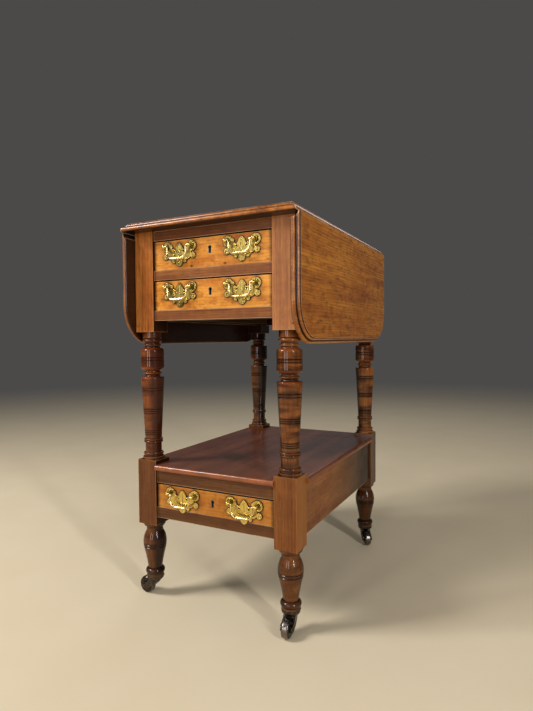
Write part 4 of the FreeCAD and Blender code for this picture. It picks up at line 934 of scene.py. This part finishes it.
class Fastener(Enum):
    """Fasteners that repeat: head radius and crown in mm, and whether it has a slot."""

    COUNTERSUNK_SCREW = (3.4, 0.5, True)
    SMALL_SCREW = (2.2, 0.7, True)
    RIVET = (3.6, 1.5, False)
    DRAW_PEG = (3.0, 0.35, False)

    @staticmethod
    @cache
    def tree() -> Tree:
        """Sets a domed head on each point, with or without a slot.

        Returns:
            The tree, made once.
        """
        tree, given = new_tree("domed_heads", {
            "Head Radius": Input.LENGTH, "Crown": Input.LENGTH, "Slotted": Input.CHOICE,
            "Seed": Input.COUNT})
        radius, crown = given["Head Radius"], given["Crown"]
        squash = add_node(tree, "ShaderNodeCombineXYZ", inputs={"X": radius, "Y": radius, "Z": crown})
        ball = add_node(tree, "GeometryNodeMeshUVSphere", inputs={
            "Segments": 20, "Rings": 10, "Radius": 1.0})
        head = add_node(tree, "GeometryNodeTransform", inputs={
            "Geometry": ball.outputs[0], "Scale": squash.outputs[0]})
        slot_share, slot_long = 0.3, 2.4
        width, length = (add_node(tree, "ShaderNodeMath", {"operation": "MULTIPLY"}, {0: radius, 1: share})
                         for share in (slot_share, slot_long))
        size = add_node(tree, "ShaderNodeCombineXYZ", inputs={
            "X": length.outputs[0], "Y": width.outputs[0], "Z": crown})
        rise = add_node(tree, "ShaderNodeCombineXYZ", inputs={"Z": crown})
        bar = add_node(tree, "GeometryNodeMeshCube", inputs={"Size": size.outputs[0]})
        saw = add_node(tree, "GeometryNodeTransform", inputs={
            "Geometry": bar.outputs[0], "Translation": rise.outputs[0]})
        sawn = add_node(tree, "GeometryNodeMeshBoolean", {"operation": "DIFFERENCE"},
                        {"Mesh 1": head.outputs[0], "Mesh 2": saw.outputs[0]})
        chosen = add_node(tree, "GeometryNodeSwitch", {"input_type": "GEOMETRY"},
                          {"Switch": given["Slotted"], "False": head.outputs[0], "True": sawn.outputs[0]})
        scatter(tree, given, chosen.outputs[0], math.pi)
        return tree

    def build(self, fitting: Fitting, places: list[Place]) -> Piece:
        """Sets one of these on each place.

        Args:
            fitting: What the heads are called and ride on.
            places: Points and the way that each head faces.

        Returns:
            The heads, as one piece.
        """
        radius, crown, slotted = self.value
        return fitting.grow_on(places, self.tree(), {
            "Head Radius": radius * MM, "Crown": crown * MM, "Slotted": slotted})


class SubAssembly:
    """A stretch of the table that is dressed together."""

    def dress(self) -> None:
        """Paints its CAD nodes."""

    def build(self) -> list[Piece]:
        """Makes its own small pieces; one that has none leaves this as it is."""
        return []


@dataclass
class TopAndLeaves(SubAssembly):
    """The centre top, its two leaves and the hinges of their rule joints."""

    hinge_length: float = 56 * MM
    screw_rows: tuple[float, ...] = (16 * MM, 34 * MM)
    screw_inset: float = 9 * MM

    def dress(self) -> None:
        """Paints the top, the leaves and their ironwork."""
        # Painted shade under the top and on each leaf's inner face
        boards = {"top_board": (TOP_WOOD, SHADE_UNDER), "leaf_left": (LEAF_WOOD, LEAF_EDGE, SHADE_FACING_RIGHT),
                  "leaf_right": (LEAF_WOOD, LEAF_EDGE, SHADE_FACING_LEFT)}
        for number, (board, (wood, *stains)) in enumerate(boards.items()):
            paint(board, wood.material(board, Grain.DEPTH, number + 1, tuple(stains)))
        for node in ("top_hinge_flaps", "leaf_left_hinge_flaps", "leaf_right_hinge_flaps", "hinge_pins"):
            paint(node, HINGE_IRON.material())

    def build(self) -> list[Piece]:
        """Screws the long hinge flaps to the leaves.

        Returns:
            The screws of each leaf.
        """
        made = []
        for side, inward in (("left", RIGHT), ("right", LEFT)):
            low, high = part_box(f"leaf_{side}_hinge_flaps")
            pin = Vector(JOINTS[f"{side}_leaf_hinge"]["pos_m"])
            places = []
            for end in (low.y, high.y - self.hinge_length):
                for drop in self.screw_rows:
                    for y in (end + self.screw_inset, end + self.hinge_length - self.screw_inset):
                        places.append((Vector((pin.x, y, pin.z - drop)), Vector(inward)))
            name, iron = f"{side}_leaf_hinge_screws", HINGE_IRON.material()
            screws = Fitting(name, f"{side}_leaf", "hinge_iron", iron)
            made.append(Fastener.COUNTERSUNK_SCREW.build(screws, places))
        return made


@dataclass
class Legs(SubAssembly):
    """Four turned legs, with the pegs that pin their tenons."""

    block_tail: float = 21.6 * MM
    block_stand: float = 7.5 * MM
    foot_tail: float = 16 * MM
    peg_in: float = 7.6 * MM
    peg_rise: float = 13.2 * MM
    collar_and_ring: float = 20.1 * MM
    upper_neck: float = 10.9 * MM
    barrel: float = 43 * MM
    lower_neck: float = 13.5 * MM
    column_base: float = 40.6 * MM
    column_lines: tuple[tuple[float, int, float], ...] = (
        (0.1, 3, 3.7 * MM), (0.445, 3, 3.7 * MM), (0.8, 2, 5.2 * MM))
    pair_pitch: float = 5.2 * MM
    foot_lines_drop: float = 45 * MM
    line_half: float = 0.9 * MM
    band_past: float = 2.6 * MM
    rim_height: float = 4.5 * MM
    toe: float = 14.5 * MM

    def levels(self) -> Triple:
        """Finds the heights where the blocks end.

        Returns:
            The heights of the lower block's foot, its top and the upper block's foot.
        """
        return (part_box("lower_bottom_rail")[0].z - self.foot_tail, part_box("shelf")[1].z + self.block_stand,
                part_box("upper_bottom_rail")[0].z - self.block_tail)

    def tones(self) -> tuple[Stain, ...]:
        """Works out the stains that follow the turning.

        Returns:
            Columns, feet, toes, lower blocks, bands, cut lines and rims.
        """
        block_foot, block_top, column_end = self.levels()
        barrel_top = column_end - self.collar_and_ring - self.upper_neck
        barrel_foot = barrel_top - self.barrel
        column_top = barrel_foot - self.lower_neck
        column_foot = block_top + self.column_base
        sets = [(column_foot + (column_top - column_foot) * share, count, pitch)
                for share, count, pitch in self.column_lines]
        sets += [((barrel_top + barrel_foot) / 2, 2, self.pair_pitch),
                 (block_foot - self.foot_lines_drop, 2, self.pair_pitch)]
        lines, bands = [], []
        for middle, count, pitch in sets:
            heights = [middle + (i - (count - 1) / 2) * pitch for i in range(count)]
            lines += [(z - self.line_half, z + self.line_half) for z in heights]
            bands.append((heights[0] - self.band_past, heights[-1] + self.band_past))
        rims = ((column_top - self.rim_height, column_top), (barrel_top - self.rim_height, barrel_top),
                (barrel_foot, barrel_foot + self.rim_height))
        toe_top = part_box("leg_front_left")[0].z + self.toe
        # The cut lines are old polish and painted shade
        return (TURNED.over((block_top, column_end)), FOOT.over((0.0, block_foot)), TOE.over((0.0, toe_top)),
                LOW_BLOCK.over((block_foot, block_top)), LINE_BAND.over(*bands), CUT_LINE.over(*lines),
                RIM.over(*rims))

    def dress(self) -> None:
        """Paints each leg from its own stretch of the log, darker where it is turned and below, with painted
        shade, sheen and light on some faces.
        """
        block_foot, block_top, column_end = self.levels()
        lower_block, upper_block = (block_foot, block_top), (column_end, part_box("top_board")[0].z)
        # Painted shade on the back legs' faces towards the case
        behind = SHADE_BEHIND.over(upper_block)
        # A painted sheen on the front right block's face, painted light on the right side of its lower block,
        # and painted shade on the back legs
        own = {"front_left": (DARK_BLOCK.over(lower_block), REDDENED.over((block_top, column_end))),
               "front_right": (SHEEN_BLOCK.over(upper_block), LIT_SIDE.over(lower_block)),
               "back_left": (behind, SHADE_LEG),
               "back_right": (behind, SHADE_LEG.over((0.0, block_top)))}
        for number, name in enumerate(CORNERS):
            # Painted shade on each leg's inward faces
            inward = SHADE_FACING_LEFT if "right" in name else SHADE_FACING_RIGHT
            stains = (*self.tones(), inward, *own[name])
            paint(f"leg_{name}", LEG_WOOD.material(name, Grain.UPRIGHT, 5 + number, stains))

    def build(self) -> list[Piece]:
        """Pegs the bottom rail's tenons through the upper blocks.

        Returns:
            The pegs, as one piece.
        """
        block_foot = self.levels()[2]
        places = []
        for name in CORNERS[:2]:
            low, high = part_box(f"leg_{name}")
            outer = high.x - self.peg_in if "right" in name else low.x + self.peg_in
            places.append((Vector((outer, low.y, block_foot + self.peg_rise)), Vector(FRONT)))
        wood = PEG_WOOD.material("draw_pegs", Grain.DEPTH, 9)
        return [Fastener.DRAW_PEG.build(Fitting("leg_draw_pegs", "frame", "leg_wood", wood), places)]


@dataclass
class Cases(SubAssembly):
    """The upper and lower cases, the shelf, and what is hidden in them."""

    top_rail: str = "upper_top_rail"
    rails: tuple[str, ...] = ("upper_middle_rail", "upper_bottom_rail", "lower_top_rail",
                              "lower_bottom_rail")
    backs: tuple[str, ...] = ("upper_back", "lower_back")
    flanks: tuple[str, ...] = ("upper_side_left", "upper_side_right", "lower_side_left", "lower_side_right")

    def dress(self) -> None:
        """Paints rails, sides, backs, shelf, runners and fly brackets."""
        # Painted shade on the lower case, and painted shadow on the top rail under the top
        shaded_low_case = SHADE_LOW_CASE.over((0.0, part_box("shelf")[1].z))
        shades = {self.top_rail: SHADED_RAIL, **dict.fromkeys(self.rails, RAIL),
                  **dict.fromkeys(self.backs, SHADE_FACING_FRONT)}
        # Painted shade under the boards and on the backs' inner faces
        for number, (board, shade) in enumerate(shades.items()):
            stains = (shaded_low_case, SHADE_UNDER, shade)
            paint(board, CASE_WOOD.material(board, Grain.ACROSS, 11 + number, stains))
        for number, board in enumerate(self.flanks):
            # Painted shade under the sides and on their inner faces
            inward = SHADE_FACING_LEFT if "right" in board else SHADE_FACING_RIGHT
            # The lower sides darken towards the back, partly with painted shade
            stains = (SHADE_UNDER, inward, SHADE_TOWARDS_BACK) if "lower" in board else (SHADE_UNDER, inward)
            paint(board, CASE_WOOD.material(board, Grain.DEPTH, 21 + number, stains))
        # A painted sheen towards the shelf's front, and bare wood rubbed along its edges
        rubbed = (SHEEN_FORE, FRONT_EDGE, *SIDE_EDGES)
        paint("shelf", SHELF_WOOD.material("shelf", Grain.DEPTH, 27, rubbed))
        # Darker old wood and painted shade on the runners and fly rails
        inner = INNER_WOOD.material("runners", Grain.DEPTH, 31, (AGED_AND_SHADED,))
        for node in ("upper_runners", "lower_runners", "fly_rails", "fly_bracket_left", "fly_bracket_right"):
            paint(node, inner)
        paint("fly_pins", HINGE_IRON.material())


@dataclass(frozen=True)
class Curl:
    """A scroll about a point, across and up.

    Attributes:
        middle: The point it turns about.
        radius: Where it starts.
        shrink: The share of that radius where it ends.
        turn: The angles where it starts and ends.
        steps: How many straight stretches draw it.
    """

    middle: Pair
    radius: float
    shrink: float
    turn: Pair
    steps: int = 28

    def path(self, side: int) -> list[Pair]:
        """Draws the scroll.

        Args:
            side: 1, or -1 for the mirrored scroll.

        Returns:
            Points along it.
        """
        points = []
        (across, up), (start, stop) = self.middle, self.turn
        for share in (i / self.steps for i in range(self.steps + 1)):
            radius = self.radius * (1 - (1 - self.shrink) * share)
            angle = start + (stop - start) * share
            points.append((side * (across + radius * math.cos(angle)), up + radius * math.sin(angle)))
        return points


@dataclass(frozen=True)
class PullPlate:
    """A pull's back plate, with places across and up from the middle of its posts.

    Attributes:
        face: How far its face stands off the drawer.
        post_half: Half the distance between the posts.
        scroll_radius: Of the scrolls round the posts.
        ear: Middle of the scroll on an outer ear.
        ear_radius: Of that scroll.
        shield: Middle of the arcs of the shield.
        shield_radius: Of those arcs.
        piercing: Middle of a piercing.
        piercing_rim: Radius of the bead round it.
        spine: Top and foot of the bead down the middle.
    """

    face: float = 1.6 * MM
    post_half: float = 28 * MM
    scroll_radius: float = 8.2 * MM
    ear: Pair = (30.6 * MM, -17.6 * MM)
    ear_radius: float = 4.2 * MM
    shield: Pair = (0.0, -15 * MM)
    shield_radius: float = 12.6 * MM
    piercing: Pair = (10 * MM, -8.6 * MM)
    piercing_rim: float = 2.3 * MM
    spine: Pair = (5.4 * MM, -33.5 * MM)

    def paths(self) -> list[list[Pair]]:
        """Draws the plate's relief.

        Returns:
            Points along the spine and each scroll.
        """
        top, foot = self.spine
        steps = 12
        spine = [(0.0, top + (foot - top) * i / steps) for i in range(steps + 1)]
        curls = (Curl((self.post_half, 0.0), self.scroll_radius, 0.6, (-2.6, 2.4)),
                 Curl(self.ear, self.ear_radius, 0.3, (1.6, -3.6)),
                 Curl(self.shield, self.shield_radius, 1.0, (-0.35, -1.4)),
                 Curl(self.piercing, self.piercing_rim, 1.0, (0.0, 2 * math.pi)))
        return [spine, *(curl.path(side) for side in (-1, 1) for curl in curls)]


@dataclass
class Drawer(SubAssembly):
    """One drawer: golden front, planed box, lock and brass pulls."""

    name: str
    number: int
    knots: tuple[Knot, ...] = ()
    # Painted shade under the drawer
    tones: tuple[Stain, ...] = (SHADE_UNDER,)
    lock_inset: float = 4.5 * MM
    pull_offset: float = 67 * MM
    plate: PullPlate = PullPlate()

    def node(self, part: str) -> str:
        """The name of one of this drawer's CAD nodes."""
        return f"{self.name}_drawer_{part}"

    def dress(self) -> None:
        """Paints the drawer."""
        front = FRONT_WOOD.material(self.name, Grain.ACROSS, self.number, self.tones, self.knots)
        paint(self.node("front"), front)
        # Painted shade under the box and the bottom
        for part, grain, further in (("box", Grain.DEPTH, 4), ("bottom", Grain.ACROSS, 8)):
            paint(self.node(part), INNER_WOOD.material(f"{self.name}_{part}", grain, self.number + further,
                                                       (SHADE_UNDER,)))
        paint(self.node("lock"), LOCK_IRON.material())
        paint(self.node("pulls"), BRASS.material())
        for side in ("left", "right"):
            paint(self.node(f"bail_{side}"), HANDLED_BRASS.material())

    def build(self) -> list[Piece]:
        """Screws the lock to the front, bolts the pulls on and casts the scrolls on their plates.

        Returns:
            The screws, the nuts and the scrolls.
        """
        body, inset = f"{self.name}_drawer", self.lock_inset
        low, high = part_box(self.node("lock"))
        screws = [(Vector((x, high.y, z)), Vector(BACK))
                  for x in (low.x + inset, high.x - inset)
                  for z in (low.z + inset, high.z - inset)]
        line = JOINTS[f"{self.name}_left_bail_lift"]["pos_m"][2]
        front_low, front_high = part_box(self.node("front"))
        middles = (-self.pull_offset, self.pull_offset)
        bolts = [(Vector((middle + end * self.plate.post_half, front_high.y, line)), Vector(BACK))
                 for middle in middles for end in (-1, 1)]
        scrolls = [[Vector((middle + x, front_low.y - self.plate.face, line + z)) for x, z in path]
                   for middle in middles for path in self.plate.paths()]
        brass = BRASS.material()
        return [Fastener.SMALL_SCREW.build(
                    Fitting(f"{self.name}_lock_screws", body, "lock_iron", LOCK_IRON.material()), screws),
                Nut().build(Fitting(f"{self.name}_pull_nuts", body, "brass", brass), bolts),
                Relief().build(Fitting(f"{self.name}_plate_scrolls", body, "brass", brass), scrolls)]


@dataclass
class Castors(SubAssembly):
    """Socket cups, horns and wheels."""

    cup_screws: int = 3
    cup_radius: float = 17 * MM
    cup_screw_drop: float = 2.6 * MM
    horn_reach: float = 11 * MM

    def dress(self) -> None:
        """Paints the castors."""
        paint("castor_sockets", CASTOR_IRON.material())
        for name in CORNERS:
            axle = tuple(JOINTS[f"{name}_wheel_roll"]["axis"])
            paint(f"castor_fork_{name}", CASTOR_IRON.material())
            # Each wheel's tread is rubbed bright and carries a painted highlight
            paint(f"castor_wheel_{name}", WHEEL_IRON.material(name, axle))

    def build(self) -> list[Piece]:
        """Screws the cups to the legs and rivets the axles.

        Returns:
            The rivets of each castor, and the screws.
        """
        iron = CASTOR_IRON.material()
        made, cup_places = [], []
        for name in CORNERS:
            leg = Vector(JOINTS[f"{name}_castor_swivel"]["pos_m"])
            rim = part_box(f"leg_{name}")[0].z - self.cup_screw_drop
            for i in range(self.cup_screws):
                turn = 2 * math.pi * (i + 0.25) / self.cup_screws
                way = Vector((math.cos(turn), math.sin(turn), 0))
                cup_places.append((Vector((leg.x, leg.y, rim)) + way * self.cup_radius, way))
            roll = JOINTS[f"{name}_wheel_roll"]
            axle, way = Vector(roll["pos_m"]), Vector(roll["axis"])
            ends = [(axle + way * self.horn_reach * sign, way * sign) for sign in (-1, 1)]
            rivets = Fitting(f"{name}_axle_rivets", f"{name}_castor", "castor_iron", iron)
            made.append(Fastener.RIVET.build(rivets, ends))
        screws = Fitting("castor_cup_screws", "frame", "castor_iron", iron)
        made.append(Fastener.SMALL_SCREW.build(screws, cup_places))
        return made


@dataclass(frozen=True)
class Softbox:
    """A rectangular soft light.

    Attributes:
        name: Its name.
        at: Where it stands.
        aim: The point that it looks at.
        size: Its width and height.
        watts: Its power.
    """

    name: str
    at: Triple
    aim: Triple
    size: Pair
    watts: float

    def build(self) -> None:
        """Sets the light up."""
        lamp = bpy.data.lights.new(self.name, "AREA")
        lamp.shape = "RECTANGLE"
        lamp.size, lamp.size_y = self.size
        lamp.energy = self.watts
        at = Vector(self.at)
        turn = (Vector(self.aim) - at).to_track_quat("-Z", "Y").to_matrix().to_4x4()
        holder = bpy.data.objects.new(self.name, lamp)
        holder.matrix_world = Matrix.Translation(at) @ turn
        bpy.context.scene.collection.objects.link(holder)


MIDDLE = (0.0, 0.0, 0.42)
PANE_AIM = (0.0, 0.0, 1.0)
# A soft key from the left, two tall panes in front, a thin strip for the right side and a weak back light
LIGHTS = (Softbox("key", (-1.8, -1.65, 2.3), MIDDLE, (0.8, 1.0), 82.0),
          Softbox("left_pane", (-0.6, -2.8, 1.0), PANE_AIM, (0.32, 1.6), 13.0),
          Softbox("right_pane", (0.3, -2.8, 1.0), PANE_AIM, (0.32, 1.6), 13.0),
          Softbox("strip", (2.2, -1.45, 1.3), MIDDLE, (0.12, 1.5), 38.0),
          Softbox("back", (-0.6, 2.6, 2.0), MIDDLE, (1.6, 1.0), 8.0))


@dataclass
class Studio:
    """A plain pale floor, soft light and the photograph's camera."""

    image: tuple[int, int] = (533, 711)
    focal_px: float = 518.46
    sensor_mm: float = 36.0
    eye: Triple = (0.5209, -1.0348, 0.5122)
    yaw: float = math.radians(27.175)
    pitch: float = math.radians(1.891)
    roll: float = math.radians(-0.423)
    floor_half: float = 40.0
    floor_tones: tuple[str, str] = ("cebd9e", "d6c6aa")
    mottle_mm: float = 167.0
    fade: Pair = (1.1, 5.0)
    backdrop: str = "4b4a49"
    daylight: str = "f2f3f5"
    daylight_strength: float = 0.2

    def build(self) -> None:
        """Makes the floor, the world, the lights and the camera."""
        self.floor()
        self.world()
        for light in LIGHTS:
            light.build()
        self.camera()
        bpy.context.scene.view_settings.view_transform = "Standard"

    def floor(self) -> None:
        """A wide pale floor with a faint mottle, fading into the backdrop away from the table."""
        half = self.floor_half
        mesh = bpy.data.meshes.new("studio_floor")
        mesh.from_pydata([(-half, -half, 0), (half, -half, 0), (half, half, 0), (-half, half, 0)], [],
                         [(0, 1, 2, 3)])
        floor = link("studio_floor", mesh)
        material, tree = new_material("pale_painted_floor")
        place = add_node(tree, "ShaderNodeTexCoord").outputs["Object"]
        mottle = add_node(tree, "ShaderNodeTexNoise", inputs={
            "Vector": place, "Scale": 1 / (self.mottle_mm * MM), "Detail": 5.0})
        dark, pale = self.floor_tones
        near = add_node(tree, "ShaderNodeBsdfDiffuse", inputs={
            "Color": lay(tree, linear(dark), pale, mottle.outputs[0])})
        away = add_node(tree, "ShaderNodeVectorMath", {"operation": "LENGTH"}, {0: place})
        gone = add_node(tree, "ShaderNodeMapRange", inputs={
            "Value": away.outputs["Value"], "From Min": self.fade[0], "From Max": self.fade[1]})
        far = add_node(tree, "ShaderNodeEmission", inputs={"Color": linear(self.backdrop)})
        blend = add_node(tree, "ShaderNodeMixShader", inputs={
            0: gone.outputs[0], 1: near.outputs[0], 2: far.outputs[0]})
        add_node(tree, "ShaderNodeOutputMaterial", inputs={"Surface": blend.outputs[0]})
        mesh.materials.append(material)

    def world(self) -> None:
        """Soft light all round, with a plain grey backdrop for what looks past the floor."""
        world = bpy.data.worlds.new("studio")
        bpy.context.scene.world = world
        world.use_nodes = True
        tree = world.node_tree
        tree.nodes.clear()
        rays = add_node(tree, "ShaderNodeLightPath").outputs
        seen = rays["Is Camera Ray"]
        for kind in ("Is Glossy Ray", "Is Transmission Ray"):
            seen = add_node(tree, "ShaderNodeMath", {"operation": "MAXIMUM"},
                            {0: seen, 1: rays[kind]}).outputs[0]
        light = add_node(tree, "ShaderNodeBackground", inputs={
            "Color": linear(self.daylight), "Strength": self.daylight_strength})
        behind = add_node(tree, "ShaderNodeBackground", inputs={
            "Color": linear(self.backdrop), "Strength": 1.0})
        both = add_node(tree, "ShaderNodeMixShader", inputs={
            0: seen, 1: light.outputs[0], 2: behind.outputs[0]})
        add_node(tree, "ShaderNodeOutputWorld", inputs={"Surface": both.outputs[0]})

    def camera(self) -> None:
        """The camera that took the photograph: place, aim, roll and focal length."""
        lens = bpy.data.cameras.new("camera")
        lens.sensor_width = self.sensor_mm
        lens.lens = self.focal_px / max(self.image) * self.sensor_mm
        right = Vector((math.cos(self.yaw), math.sin(self.yaw), 0))
        level = Vector((-math.sin(self.yaw), math.cos(self.yaw), 0))
        ahead = level * math.cos(self.pitch) - Vector((0, 0, math.sin(self.pitch)))
        up = right.cross(ahead)
        side = right * math.cos(self.roll) + up * math.sin(self.roll)
        head = up * math.cos(self.roll) - right * math.sin(self.roll)
        turn = Matrix((side, head, -ahead)).transposed().to_4x4()
        camera = bpy.data.objects.new("camera", lens)
        camera.matrix_world = Matrix.Translation(Vector(self.eye)) @ turn
        bpy.context.scene.collection.objects.link(camera)
        bpy.context.scene.camera = camera


def main() -> None:
    """Dresses each sub-assembly in order and reports its pieces."""
    logging.basicConfig(level=logging.INFO, format="%(name)s: %(message)s")
    Studio().build()
    knots = (Knot(32 * MM, 647 * MM), Knot(-40.4 * MM, 646.7 * MM))
    # The lower drawer's front gets painted shade
    drawers = (Drawer("upper", 41, knots), Drawer("middle", 42),
               Drawer("lower", 43, tones=(SHADE_LOWER_DRAWER, SHADE_UNDER)))
    for part in (TopAndLeaves(), Legs(), Cases(), *drawers, Castors()):
        part.dress()
        for piece in part.build():
            LOG.info("%s: %d faces", piece.name, len(piece.data.polygons))


if __name__ == "__main__":
    main()
